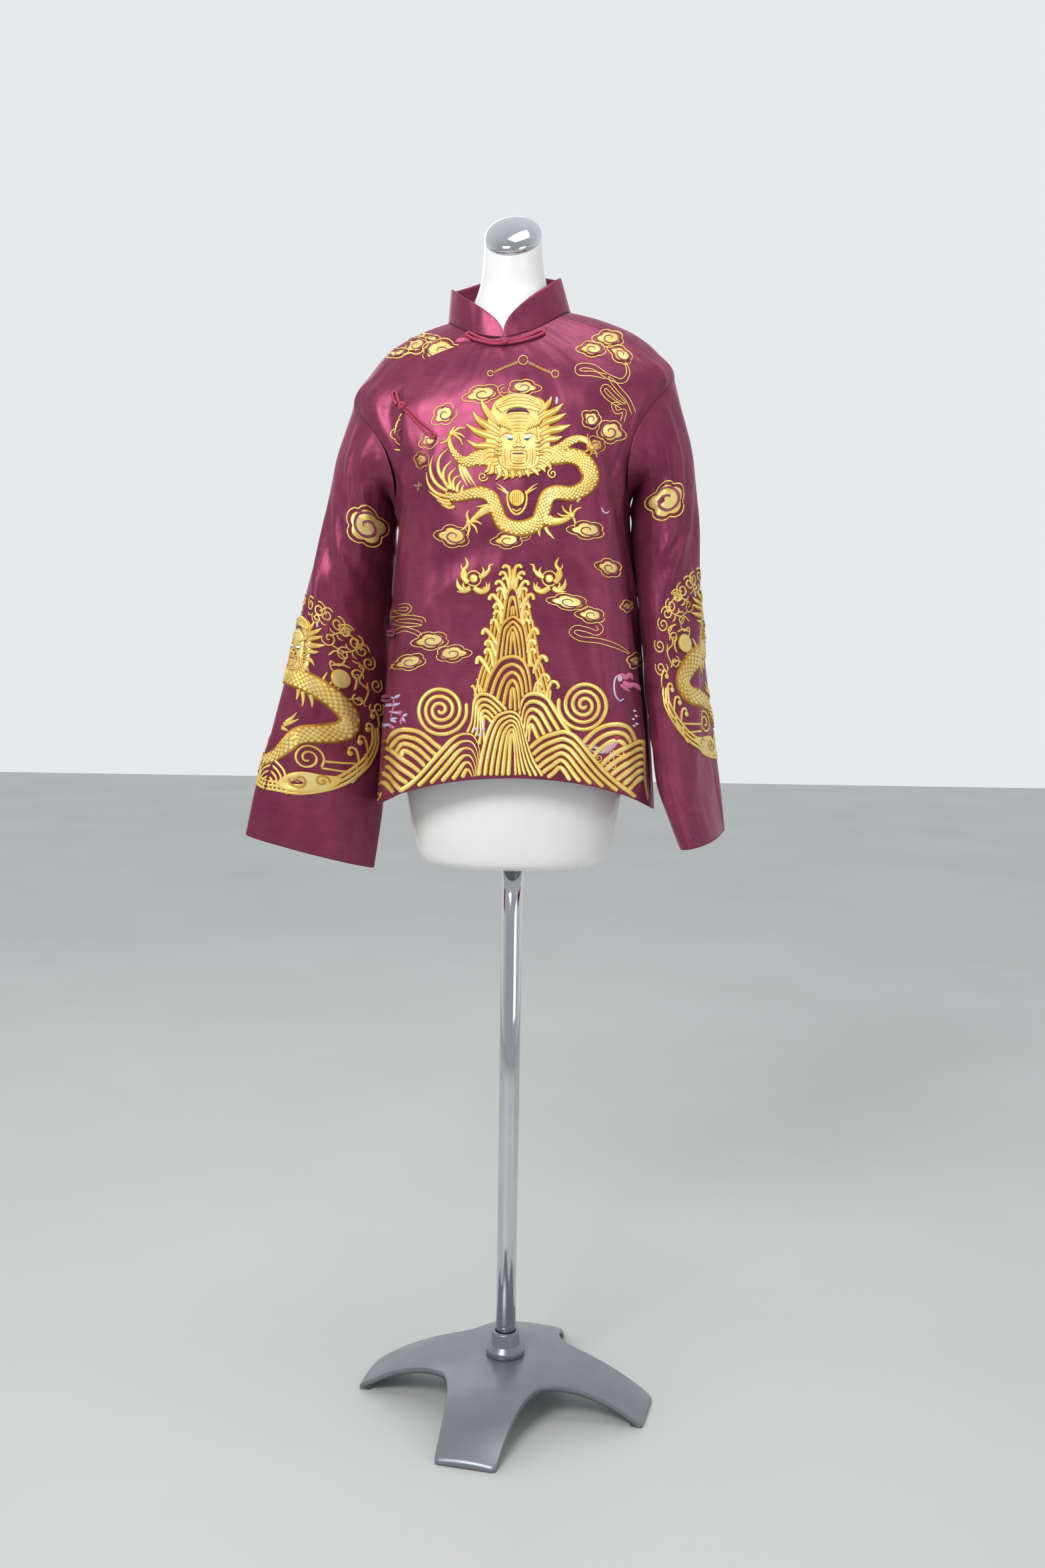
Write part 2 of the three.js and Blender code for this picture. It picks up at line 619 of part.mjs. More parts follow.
// The cap closes the slanted top of the neck with a low dome.
function neckCap() {
  const top = NECK[NECK.length - 1];
  const normal = new THREE.Vector3(-top.tilt, -top.rise, 1).normalize();
  const angles = Array.from({ length: FORM_COLUMNS }, (_, i) => 360 * i / FORM_COLUMNS);
  const centre = new THREE.Vector3(top.x, top.y, top.z);
  const ring = (size, rise) => angles.map((angle) => {
    const edge = neckRing(top, angle).sub(centre).multiplyScalar(size);
    return edge.add(centre).addScaledVector(normal, SEAM_GAP + rise);
  });
  const steps = [0.25, 0.5, 0.75, 0.93];
  const dome = steps.map((step) => {
    const a = step * Math.PI / 2;
    return ring(Math.cos(a), CAP_EDGE + CAP_DOME * Math.sin(a));
  });
  return tubeOf([ring(1, 0), ring(1, CAP_EDGE), ...dome]);
}

function baseOutline() {
  const waist = WAIST_REACH / Math.SQRT2;
  const curve = new THREE.QuadraticBezierCurve(
    new THREE.Vector2(BASE_REACH, FOOT_HALF_WIDTH),
    new THREE.Vector2(WAIST_REACH * 0.98, FOOT_HALF_WIDTH * 1.12),
    new THREE.Vector2(waist, waist),
  );
  const bend = curve.getPoints(5);
  const eighth = [new THREE.Vector2(BASE_REACH, 0), ...bend];
  const mirrored = bend.slice(0, -1).reverse().map((p) => new THREE.Vector2(p.y, p.x));
  const quarter = [...eighth, ...mirrored];
  const outline = [];
  for (let leg = 0; leg < 4; leg += 1) {
    const spin = leg * Math.PI / 2;
    quarter.forEach((p) => outline.push(p.clone().rotateAround(new THREE.Vector2(), spin)));
  }
  return outline;
}

// Height of the base's top at a distance from the axis: level at the hub, then an arch.
function baseTop(reach) {
  const run = Math.max(reach - HUB_RADIUS - 6, 0) / (BASE_REACH - HUB_RADIUS - 6);
  return BASE_THICK + (BASE_HEIGHT - BASE_THICK) * (1 - run ** 2.3);
}

function standBase() {
  const outline = baseOutline();
  const pad = 1 - FOOT_PAD / BASE_REACH;
  const fractions = [0.12, 0.3, 0.5, 0.68, 0.82, pad, 1];
  const top = fractions.map((f) => outline.map((p) => {
    const height = baseTop(p.length() * f);
    return new THREE.Vector3(p.x * f, p.y * f, height);
  }));
  const under = fractions.map((f, i) => outline.map((p) => {
    const arch = Math.max(baseTop(p.length() * f) - BASE_THICK, 0);
    const onFoot = i >= fractions.length - 2 && p.length() > BASE_REACH - 1;
    return new THREE.Vector3(p.x * f, p.y * f, onFoot ? 0 : arch);
  }));
  return tubeOf([...top, ...under.reverse()]);
}

function hub() {
  const profile = [
    [POLE_RADIUS + SEAM_GAP, 0], [HUB_RADIUS, 0], [HUB_RADIUS, 8], [HUB_RADIUS - 7, 14],
    [HUB_RADIUS - 7, HUB_HEIGHT - 2], [HUB_RADIUS - 9, HUB_HEIGHT], [POLE_RADIUS + SEAM_GAP, HUB_HEIGHT],
    [POLE_RADIUS + SEAM_GAP, 0],
  ].map(([x, y]) => new THREE.Vector2(x, y));
  return clean(new THREE.LatheGeometry(profile, 24));
}

function flange() {
  const profile = [
    [0, 0], [POLE_RADIUS + 8, 0], [POLE_RADIUS + 10, 3], [FLANGE_RADIUS, 4],
    [FLANGE_RADIUS, FLANGE_THICK], [0, FLANGE_THICK],
  ].map(([x, y]) => new THREE.Vector2(x, y));
  return clean(new THREE.LatheGeometry(profile, 24));
}

// ---- assembly -----------------------------------------------------------
function part(name, geometry, look) {
  const mesh = new THREE.Mesh(geometry, new THREE.MeshStandardMaterial(look));
  mesh.name = name;
  return mesh;
}

function upright(mesh, height) {
  mesh.rotation.x = Math.PI / 2;
  mesh.position.z = height;
  return mesh;
}

function frogs() {
  const hollow = (angle, level) => hollowDepth(angle, level) + FROG_LIFT - 0.1;
  const bar = (name, places, sink) => part(name, frogBar(places, sink), FROG);
  return [
    bar('frog_neck_bar_right', [[-7, 9.42], [-20, 9.55], [-38, 9.8]]),
    bar('frog_neck_bar_left', [[7, 9.42], [20, 9.48], [38, 9.6]]),
    knotMesh('frog_neck_knot', 0, 9.42),
    bar('frog_chest_bar_under', [[-38.5, 6.18], [-40.5, 6.28], [-43, 6.42]], hollow),
    bar('frog_chest_bar_main', [[-31.5, 5.9], [-28.5, 5.72], [-24.5, 5.47]]),
    knotMesh('frog_chest_knot', -35, 6.05),
    ...sideFrog('high', 2.3),
    ...sideFrog('low', 1.45),
  ];
}

// A level frog across the side seam, where the main front closes on the back.
function sideFrog(name, level) {
  const run = [3.5, 11, 20];
  const places = (way) => run.map((angle) => [-90 + way * angle, level]);
  const clear = () => -1.5 * FROG_LIFT;
  return [
    part(`frog_side_${name}_bar_front`, frogBar(places(1), clear), FROG),
    part(`frog_side_${name}_bar_back`, frogBar(places(-1), clear), FROG),
    knotMesh(`frog_side_${name}_knot`, -90, level),
  ];
}

function stand() {
  const formFoot = FORM[0].side;
  const poleFoot = BASE_HEIGHT + SEAM_GAP;
  const poleTop = formFoot - FLANGE_THICK - 2 * SEAM_GAP;
  const base = part('stand_base', standBase(), SATIN_GREY);
  base.rotation.z = radians(-90 + BASE_TURN);
  const tube = new THREE.CylinderGeometry(POLE_RADIUS, POLE_RADIUS, poleTop - poleFoot, 24);
  const pole = part('stand_pole', clean(tube), CHROME);
  const top = part('stand_flange', flange(), SATIN_GREY);
  const ring = part('stand_hub', hub(), SATIN_GREY);
  return [
    base,
    upright(pole, (poleTop + poleFoot) / 2),
    upright(top, formFoot - FLANGE_THICK - SEAM_GAP),
    upright(ring, poleFoot),
  ];
}

const model = new THREE.Group();
model.add(part('front_main', frontMain(), SATIN));
model.add(part('front_under', frontUnder(), SATIN));
model.add(part('back', backPanel(), SATIN));
model.add(part('sleeve_right', sleeve(-1, SLEEVE_RIGHT), SATIN));
model.add(part('sleeve_left', sleeve(1, SLEEVE_LEFT), SATIN));
model.add(part('collar', collar(), SATIN));
model.add(...frogs());
model.add(part('form_torso', formTorso(), GLOSS_WHITE));
model.add(part('neck_cap', neckCap(), CHROME));
model.add(...stand());

// The origin is on the floor, midway between the extremes in X and Y.
model.updateMatrixWorld(true);
const box = new THREE.Box3().setFromObject(model, true);
model.position.set(-(box.min.x + box.max.x) / 2, -(box.min.y + box.max.y) / 2, -box.min.z);

export default model;
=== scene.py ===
# Looks of the magua jacket on its dress form. Lengths are in millimetres until a mesh is made.
import math

import bpy
import numpy as np
from mathutils import Matrix, Vector
from mathutils.kdtree import KDTree


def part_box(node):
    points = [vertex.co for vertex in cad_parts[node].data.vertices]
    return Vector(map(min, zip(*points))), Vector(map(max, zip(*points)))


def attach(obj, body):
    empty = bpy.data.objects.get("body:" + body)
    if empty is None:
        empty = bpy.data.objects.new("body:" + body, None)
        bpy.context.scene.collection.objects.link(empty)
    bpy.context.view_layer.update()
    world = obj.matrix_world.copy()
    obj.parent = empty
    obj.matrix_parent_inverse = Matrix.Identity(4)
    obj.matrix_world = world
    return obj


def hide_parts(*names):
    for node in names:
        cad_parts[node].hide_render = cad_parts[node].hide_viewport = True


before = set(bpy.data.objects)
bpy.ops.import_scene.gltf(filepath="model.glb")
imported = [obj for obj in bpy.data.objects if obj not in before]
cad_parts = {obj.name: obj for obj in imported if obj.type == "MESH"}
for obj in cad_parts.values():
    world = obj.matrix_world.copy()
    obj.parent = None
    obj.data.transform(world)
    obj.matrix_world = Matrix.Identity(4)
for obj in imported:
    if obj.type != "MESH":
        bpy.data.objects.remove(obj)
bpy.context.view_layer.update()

BODY = "root"
pole_low, pole_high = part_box("stand_pole")
AXIS = np.array([(pole_low.x + pole_high.x) * 500, (pole_low.y + pole_high.y) * 500, 0.0])

# ---- camera -------------------------------------------------------------
VIEW_SIZE = (1568, 2352)
FOCAL = 2330.0
EYE = np.array([11.8, -2110.0, 1083.0])
PITCH = math.radians(5.71)
ROLL = math.radians(0.9)
ahead = np.array([0.0, math.cos(PITCH), -math.sin(PITCH)])
level_right = np.array([1.0, 0.0, 0.0])
level_up = np.cross(level_right, ahead)
RIGHT = level_right * math.cos(ROLL) + level_up * math.sin(ROLL)
UP = level_up * math.cos(ROLL) - level_right * math.sin(ROLL)


def seen_from_front(points):
    """Places in the front view's picture, in its own units, of points in millimetres."""
    away = points - EYE
    depth = away @ ahead
    across = VIEW_SIZE[0] / 2 + FOCAL * (away @ RIGHT) / depth
    down = VIEW_SIZE[1] / 2 - FOCAL * (away @ UP) / depth
    return np.stack([across, down], -1)


BACK_SCALE = 1.15


def seen_from_back(points):
    """The same kind of plan for the back, with parallel lines of sight."""
    across = VIEW_SIZE[0] / 2 - BACK_SCALE * (points[..., 0] + 4)
    down = 928 + BACK_SCALE * (1083 - points[..., 2])
    return np.stack([across, down], -1)


def place_camera():
    data = bpy.data.cameras.new("camera")
    data.sensor_fit = "VERTICAL"
    data.sensor_height = 36.0
    data.lens = 36.0 * FOCAL / VIEW_SIZE[1]
    data.clip_end = 60
    camera = bpy.data.objects.new("camera", data)
    turn = Matrix([RIGHT, UP, -ahead]).transposed()
    camera.matrix_world = Matrix.Translation(Vector((EYE + AXIS) / 1000)) @ turn.to_4x4()
    bpy.context.collection.objects.link(camera)
    bpy.context.scene.camera = camera


# ---- shape of the cloth -------------------------------------------------
WALL = 1.6
COLLAR_WALL = 2.2
SEAM_GAP = 0.3
OVERLAP_SINK = 3.3
COLLAR_SIDE_HEIGHT = 42
COLLAR_BACK_HEIGHT = 46
COLLAR_CORNER = 42
ARMHOLE_FRONT = 38
ARMHOLE_BACK = 33
NECK_LEVEL = 10
UNDERLAP_WIDTH = 14

# Columns: heights at the side, front and back, half width, depths to front and back,
# squareness, sideways shift, turn in degrees and sideways tilt. One row for each level.
SIDE, FRONT, BACK, HALF, CHEST, SPINE, SQUARE, SHIFT, TURN, TILT = range(10)
JACKET = np.array([
    [843, 893, 868, 188, 140, 124, 0.05, 3, 0, 0],
    [940, 965, 950, 181, 140, 118, 0.05, 2, 0, 0],
    [1045, 1050, 1048, 171, 138, 112, 0.05, 0, -1, 0.01],
    [1150, 1145, 1150, 162, 134, 108, 0.05, -3, -1.5, 0.035],
    [1245, 1232, 1245, 157, 131, 110, 0.05, -6, -2, 0.06],
    [1322, 1300, 1322, 186, 124, 108, 0.05, -8, -2.5, 0.075],
    [1394, 1360, 1394, 213, 113, 101, 0.04, -8, -3, 0.085],
    [1432, 1394, 1434, 190, 104, 94, 0.02, -8, -3.5, 0.078],
    [1460, 1420, 1466, 160, 94, 86, 0, -10, -4, 0.068],
    [1480, 1439, 1492, 118, 84, 77, 0, -12, -4.5, 0.07],
    [1491, 1454, 1512, 81, 74, 66, 0, -15, -5, 0.086],
])
# Large folds: angle, level, width, length and rise.
LARGE_FOLDS = [
    (-68, 2.1, 10, 1.1, -6), (-48, 2.0, 9, 1.3, 4), (-20, 1.2, 10, 1.1, -3),
    (24, 1.4, 10, 1.2, -3), (50, 2.2, 9, 1.4, 4), (68, 2.8, 8, 1.4, -6),
    (112, 2.4, 9, 1.4, -5), (150, 1.8, 12, 1.5, 4), (180, 2.2, 12, 1.3, -4),
    (-150, 1.8, 12, 1.5, 4), (-112, 2.4, 9, 1.4, -5),
]
HOLLOW = (-43, 6.0, 6, 0.75, 6)
BODY_FOLD_DEPTH = 1.35
SLEEVE_CREASE_DEPTH = 1.4
INNER_SMOOTHING = 0.82
OPENING_LEVELS = [0, 2.6, 3.2, 4, 4.7, 5.4, 6, 7, 7.9, 9.2, 9.7, 10]
OPENING_ANGLES = [-90, -90, -78, -57, -46, -37, -34, -43, -41, -28, -14, -2]

# Rings of the sleeves: centre, slope, half length and breadth, fold and slip in degrees.
SLEEVE_RIGHT = np.array([
    [204, 10, 1280, 0.95, 74, 34, 88, 88],
    [214, 12, 1206, 0.5, 71, 42, 80, 76],
    [224, 12, 1130, 0.3, 76, 41, 60, 52],
    [232, 9, 1060, 0.25, 81, 37, 50, 30],
    [241, 5, 988, 0.25, 86, 33, 43, 14],
    [251, 2, 920, 0.27, 89, 30, 37, 5],
    [264, 0, 848, 0.29, 91, 27, 29, 0],
    [277, 0, 775, 0.31, 90, 24, 22, 0],
])
SLEEVE_LEFT = np.array([
    [192, -10, 1296, 0.95, 74, 34, -88, -88],
    [199, -12, 1220, 0.45, 74, 40, -83, -72],
    [204, -12, 1145, 0.2, 76, 39, -76, -50],
    [213, -12, 1060, 0.12, 81, 34, -70, -32],
    [224, -10, 970, 0.12, 85, 31, -67, -18],
    [239, -8, 885, 0.15, 88, 28, -68, -8],
    [261, -6, 803, 0.2, 92, 22, -75, 0],
])


def catmull(before, start, end, after, t):
    pull = (end - before) / 2
    push = (after - start) / 2
    rise = start - end
    return ((2 * rise + pull + push) * t - (3 * rise + 2 * pull + push)) * t * t + pull * t + start


def along_rows(rows, place):
    """Rows of a table, or points of a stack of rings, at places that may lie between them."""
    last = len(rows) - 1
    low = np.clip(np.floor(place).astype(int), 0, last - 1)
    near = [rows[np.clip(low + step, 0, last)] for step in (-1, 0, 1, 2)]
    t = (place - low).reshape(np.shape(place) + (1,) * (near[0].ndim - np.ndim(place)))
    return catmull(*near, t)


def bump(distance, width):
    return np.exp(-((distance / width) ** 2))


def smoothstep(x, low, high):
    t = np.clip((x - low) / (high - low), 0, 1)
    return t * t * (3 - 2 * t)


def angle_between(a, b):
    return (a - b + 540) % 360 - 180


def section_point(rows, angle, swell=0.0):
    a = np.radians(angle)
    square = rows[..., SQUARE]
    across = (np.sin(a) + square * np.sin(3 * a)) / (1 - square)
    along = (np.cos(a) - square * np.cos(3 * a)) / (1 - square)
    facing = np.cos(a) > 0
    depth = np.where(facing, rows[..., CHEST], rows[..., SPINE])
    end = np.where(facing, rows[..., FRONT], rows[..., BACK])
    x = across * (rows[..., HALF] + swell)
    y = -along * (depth + swell)
    turn = np.radians(rows[..., TURN])
    z = rows[..., SIDE] + (end - rows[..., SIDE]) * np.cos(a) ** 2 + rows[..., TILT] * x
    turned_x = x * np.cos(turn) - y * np.sin(turn) + rows[..., SHIFT]
    turned_y = x * np.sin(turn) + y * np.cos(turn)
    return np.stack([turned_x, turned_y, z], -1)


# Smaller creases of the body: angle, level, degrees of slant, half length and half width in
# millimetres, rise.
BODY_CREASES = [
    (-30, 4.6, 62, 90, 9, 1.6), (-52, 4.2, 48, 70, 8, 1.8), (-60, 3.3, 70, 90, 9, 2.2),
    (-76, 2.6, 80, 120, 9, 2.5), (-70, 1.2, 84, 90, 10, -2.2), (-58, 1.4, 97, 110, 12, 2.0),
    (40, 4.4, -58, 80, 9, 1.5), (60, 4.1, -50, 60, 8, 2.2), (66, 3.4, -66, 80, 8, 2.4),
    (76, 2.5, -82, 120, 9, 2.6), (62, 1.5, -94, 110, 11, 2.2), (80, 1.3, -88, 90, 9, -2.4),
    (-8, 3.1, 20, 70, 14, 0.9), (14, 2.7, -16, 80, 15, 0.9), (36, 3.0, -40, 80, 12, 1.4),
    (-34, 2.7, 44, 80, 12, 1.3), (22, 0.9, -86, 90, 16, 1.5), (-28, 0.8, 92, 90, 15, 1.4),
    (4, 0.7, 89, 80, 14, -1.2), (44, 0.6, -88, 60, 13, 1.8), (-46, 0.6, 88, 60, 12, 1.8),
    (48, 7.2, -36, 44, 8, 1.2), (62, 6.6, -70, 50, 7, 1.6), (-70, 6.4, 66, 46, 7, 1.6),
    (110, 4.2, 52, 90, 10, 2.0), (130, 3.2, 62, 110, 11, 2.2), (165, 3.0, 80, 120, 14, 1.6),
    (-110, 4.2, -52, 90, 10, 2.0), (-130, 3.2, -62, 110, 11, 2.2), (-165, 3.0, -80, 120, 14, 1.6),
    (150, 1.0, 88, 110, 13, 2.0), (-150, 1.0, -88, 110, 13, 2.0), (180, 1.2, 90, 120, 13, -1.6),
    (120, 1.2, 86, 110, 11, -2.2), (-120, 1.2, -86, 110, 11, -2.2), (95, 1.6, 88, 120, 8, 2.0),
    (-95, 1.6, -88, 120, 8, 2.0), (150, 5.4, 30, 70, 10, 1.2), (-150, 5.4, -30, 70, 10, 1.2),
]
DEGREE_WIDTH = 2.7      # millimetres across for a degree, on the average
LEVEL_STARTS = np.array([0, 78, 166, 262, 348, 418, 480, 514, 540, 560, 575.0])


def level_height(level):
    return np.interp(level, np.arange(len(LEVEL_STARTS)), LEVEL_STARTS)


def creases(table, across, along):
    """Soft ridges: each stands out most at its middle and dies away at its ends."""
    total = np.zeros(np.broadcast(across, along).shape)
    for mid_across, mid_along, slant, half, width, rise in table:
        a = math.radians(slant)
        right = across - mid_across if not callable(mid_across) else mid_across(across)
        up = along - mid_along
        run = right * math.cos(a) + up * math.sin(a)
        aside = up * math.cos(a) - right * math.sin(a) + 0.0012 * run * run
        ridge = bump(aside, width) - 0.45 * bump(aside - 1.9 * width, 1.3 * width)
        total = total + rise * ridge * bump(run, half)
    return total


def body_creases(angle, level):
    along = level_height(level)
    total = 0.0
    for at_angle, at_level, slant, half, width, rise in BODY_CREASES:
        across = angle_between(angle, at_angle) * DEGREE_WIDTH
        row = [(0.0, float(level_height(at_level)), slant, half, width, rise)]
        total = total + creases(row, across, along)
    # The cloth lies close on the form's shoulders and is held by the collar's seam.
    return BODY_FOLD_DEPTH * total * (1 - smoothstep(level, 7.2, 8.6))


def jacket_surface(angle, level, fine=True):
    rows = along_rows(JACKET, level)
    swell = 0.0
    for at, height, width, length, rise in LARGE_FOLDS:
        swell = swell + rise * bump(angle_between(angle, at), width) * bump(level - height, length)
    if fine:
        swell = swell + body_creases(angle, level)
    return section_point(rows, angle, swell)


def normal_of(surface, u, v, step_u, step_v, sign=1.0):
    along_u = surface(u + step_u, v) - surface(u - step_u, v)
    along_v = surface(u, v + step_v) - surface(u, v - step_v)
    normal = np.cross(along_u, along_v)
    return sign * normal / np.linalg.norm(normal, axis=-1, keepdims=True)


def jacket_normal(angle, level):
    return normal_of(jacket_surface, angle, np.minimum(level, NECK_LEVEL - 0.02), 0.5, 0.02)


def armhole_place(side, turn):
    around = 2 * np.pi * turn
    cut = np.where(np.sin(around) > 0, ARMHOLE_FRONT, ARMHOLE_BACK)
    return side * (90 - cut * np.sin(around)), 5 + np.cos(around)


def armhole_angle(level, cut):
    """Angle at which a panel ends at a level: the side seam, or the armhole's edge."""
    return 90 - cut * np.sqrt(np.clip(1 - (level - 5) ** 2, 0, 1))


# Creases of the sleeves: share of the turn, place, slant, half length, half width, rise.
SLEEVE_CREASES = [
    (0.16, 0.8, 72, 70, 8, 3.0), (0.26, 1.2, 60, 80, 8, 3.4), (0.34, 0.9, 40, 60, 7, 3.2),
    (0.42, 1.3, 20, 60, 8, 3.2), (0.08, 1.9, 78, 90, 9, 2.4), (0.2, 2.3, 52, 90, 9, 3.2),
    (0.34, 2.5, 34, 80, 8, 3.4), (0.14, 3.3, 66, 90, 10, 2.6), (0.3, 3.6, 44, 80, 9, 2.6),
    (0.22, 4.6, 70, 100, 11, 2.2), (0.1, 5.4, 80, 110, 12, 2.0), (0.3, 5.7, 60, 90, 10, 2.4),
    (0.16, 6.8, 78, 90, 12, 2.0), (0.6, 1.2, -30, 70, 8, 3.0), (0.72, 1.0, -60, 80, 8, 3.0),
    (0.66, 2.2, -48, 90, 9, 3.0), (0.8, 2.6, -70, 90, 9, 2.4), (0.7, 3.8, -56, 90, 10, 2.4),
    (0.84, 4.8, -76, 110, 11, 2.0), (0.7, 5.8, -68, 110, 11, 2.2), (0.5, 2.0, 0, 40, 7, 3.0),
    (0.5, 3.0, 0, 40, 8, 2.4), (0.46, 4.2, 30, 50, 9, 2.0), (0.56, 5.2, -30, 60, 9, 2.0),
]
SLEEVE_TURN_WIDTH = 400.0
SLEEVE_PLACE_HEIGHT = 72.0


class Sleeve:
    def __init__(self, side, rows, hang):
        self.side = side
        self.rows = rows
        self.hang = np.array(hang).T
        self.last = len(rows)

    def ring(self, row, turn):
        x, y, z, slope, long, short, fold, slip = row
        fold = math.radians(fold)
        around = 2 * np.pi * turn - math.radians(slip)
        outwards = long * np.cos(around) * math.cos(fold) - short * np.sin(around) * math.sin(fold)
        forwards = long * np.cos(around) * math.sin(fold) + short * np.sin(around) * math.cos(fold)
        return np.stack([self.side * (x + outwards), y - forwards, z + slope * outwards], -1)

    def smooth(self, turn, place):
        turn, place = np.broadcast_arrays(turn, place)
        stack = np.stack([jacket_surface(*armhole_place(self.side, turn), fine=False)]
                         + [self.ring(row, turn) for row in self.rows])
        low = np.clip(np.floor(place).astype(int), 0, self.last - 1)
        pick = [np.take_along_axis(stack, np.clip(low + step, 0, self.last)[None, ..., None], 0)[0]
                for step in (-1, 0, 1, 2)]
        return catmull(*pick, (place - low)[..., None])

    def creased(self, turn, place):
        total = 0.0
        for at_turn, at_place, slant, half, width, rise in SLEEVE_CREASES:
            away = ((turn - at_turn + 0.5) % 1 - 0.5) * SLEEVE_TURN_WIDTH
            row = [(0.0, at_place * SLEEVE_PLACE_HEIGHT, slant, half, width, rise)]
            total = total + creases(row, away, place * SLEEVE_PLACE_HEIGHT)
        inner = bump(((turn - 0.42 + 0.5) % 1 - 0.5), 0.16)
        return SLEEVE_CREASE_DEPTH * total * smoothstep(place, 0.0, 0.5) * (1 - INNER_SMOOTHING * inner)

    def nearness(self, turn, place):
        """How far the inner side of the sleeve hangs over towards the body."""
        places, amounts = self.hang
        away = (turn - 0.53 + 0.5) % 1 - 0.5
        return np.interp(place, places, amounts) * bump(away, 0.14)

    def surface(self, turn, place):
        normal = normal_of(self.smooth, turn, np.maximum(place, 0.03), 0.004, 0.02, self.side)
        moved = self.smooth(turn, place) + normal * self.creased(turn, place)[..., None]
        return moved - np.array([self.side, 0, 0]) * self.nearness(turn, place)[..., None]

    def normal(self, turn, place):
        return normal_of(self.surface, turn, np.maximum(place, 0.03), 0.004, 0.02, self.side)


sleeve_right = Sleeve(-1, SLEEVE_RIGHT, [(0.5, 0), (1.2, 5), (1.7, 7.5), (2.3, 5.5), (2.9, 2.5), (3.6, 0)])
sleeve_left = Sleeve(1, SLEEVE_LEFT, [(0.5, 0), (1.2, 6), (1.75, 7.8), (2.3, 5.2), (2.9, 2.4), (3.4, 3.2),
                                      (4.3, 3.2), (5.1, 3), (5.7, 6), (6.0, 8.5)])


def opening_angle(level):
    return np.interp(level, OPENING_LEVELS, OPENING_ANGLES)


def underlap_sink(angle, level):
    edge = opening_angle(level)
    cover = smoothstep(angle, edge - 16, edge - 6)
    foot = 1 - smoothstep(level, 3.5, 4)
    at, height, width, length, depth = HOLLOW
    hollow = depth * bump(angle - at, width) * bump(level - height, length)
    return OVERLAP_SINK * np.maximum(cover, foot) + hollow


def collar_surface(angle, height):
    base = jacket_surface(angle, np.full(np.shape(angle), float(NECK_LEVEL)))
    shift = JACKET[-1, SHIFT]
    back = 0.5 - 0.5 * np.cos(np.radians(angle))
    full = COLLAR_SIDE_HEIGHT + (COLLAR_BACK_HEIGHT - COLLAR_SIDE_HEIGHT) * back
    draw = 1 - 0.1 * height
    x = shift + (base[..., 0] - shift) * draw - 5 * height
    return np.stack([x, base[..., 1] * draw, base[..., 2] + SEAM_GAP + full * height], -1)


# ---- meshes -------------------------------------------------------------
def make_piece(name, points, faces, finish, stands_for=(), marks=None, kinds=None):
    """An object from points in millimetres, with attributes on its points. Its faces come as
    one table, or as several tables that differ in their number of corners."""
    groups = faces if isinstance(faces, list) else [faces]
    mesh = bpy.data.meshes.new(name)
    mesh.vertices.add(len(points))
    mesh.vertices.foreach_set("co", ((points + AXIS) / 1000).astype(np.float32).ravel())
    corners = np.concatenate([np.asarray(group).ravel() for group in groups]).astype(np.int32)
    mesh.loops.add(len(corners))
    mesh.loops.foreach_set("vertex_index", corners)
    sizes = np.concatenate([np.full(len(group), len(group[0]), np.int32) for group in groups])
    mesh.polygons.add(len(sizes))
    mesh.polygons.foreach_set("loop_start", np.append(0, np.cumsum(sizes)[:-1]).astype(np.int32))
    for each in finish if isinstance(finish, list) else [finish]:
        mesh.materials.append(each)
    if kinds is not None:
        mesh.polygons.foreach_set("material_index", np.concatenate(kinds).astype(np.int32))
    for key, values in (marks or {}).items():
        kind, field = ("FLOAT_COLOR", "color") if values.shape[1] == 4 else ("FLOAT_VECTOR", "vector")
        layer = mesh.attributes.new(key, kind, "POINT")
        layer.data.foreach_set(field, values.astype(np.float32).ravel())
    mesh.update(calc_edges=True)
    mesh.validate()
    mesh.polygons.foreach_set("use_smooth", [True] * len(mesh.polygons))
    piece = bpy.data.objects.new(name, mesh)
    bpy.context.collection.objects.link(piece)
    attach(piece, BODY)
    if stands_for:
        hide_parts(*stands_for)
    return piece


def grid_faces(rows, columns, tube=False, start=0):
    row, column = np.mgrid[0:rows - 1, 0:columns if tube else columns - 1]
    beside = (column + 1) % columns
    corners = [row * columns + column, row * columns + beside,
               (row + 1) * columns + beside, (row + 1) * columns + column]
    return start + np.stack([c.ravel() for c in corners], 1)


def cloth_wall(name, outer, normals, lay, thickness, finish, stands_for, tube=False):
    """A sheet of cloth with its thickness, rounded over its open edges."""
    rows, columns = outer.shape[:2]
    inner = outer - normals * thickness
    points = np.concatenate([outer.reshape(-1, 3), inner.reshape(-1, 3)])
    half = rows * columns
    faces = [grid_faces(rows, columns, tube), grid_faces(rows, columns, tube, half)[:, ::-1]]
    index = np.arange(half).reshape(rows, columns)
    edges = [index[0], index[-1][::-1]]
    if tube:
        edges = [np.append(edge, edge[0]) for edge in edges]
    else:
        edges += [index[::-1, 0], index[:, -1]]
    for edge in edges:
        rim = np.stack([edge[1:], edge[:-1], edge[:-1] + half, edge[1:] + half], 1)
        faces.append(rim)
    faces = np.concatenate(faces)
    cell = points[faces[0]]
    facing = np.cross(cell[1] - cell[0], cell[2] - cell[1]) @ normals.reshape(-1, 3)[0]
    if facing < 0:
        faces = faces[:, ::-1]
    marks = {"lay": np.concatenate([lay.reshape(-1, 3)] * 2)}
    piece = make_piece(name, points, faces, finish, stands_for, marks)
    return piece


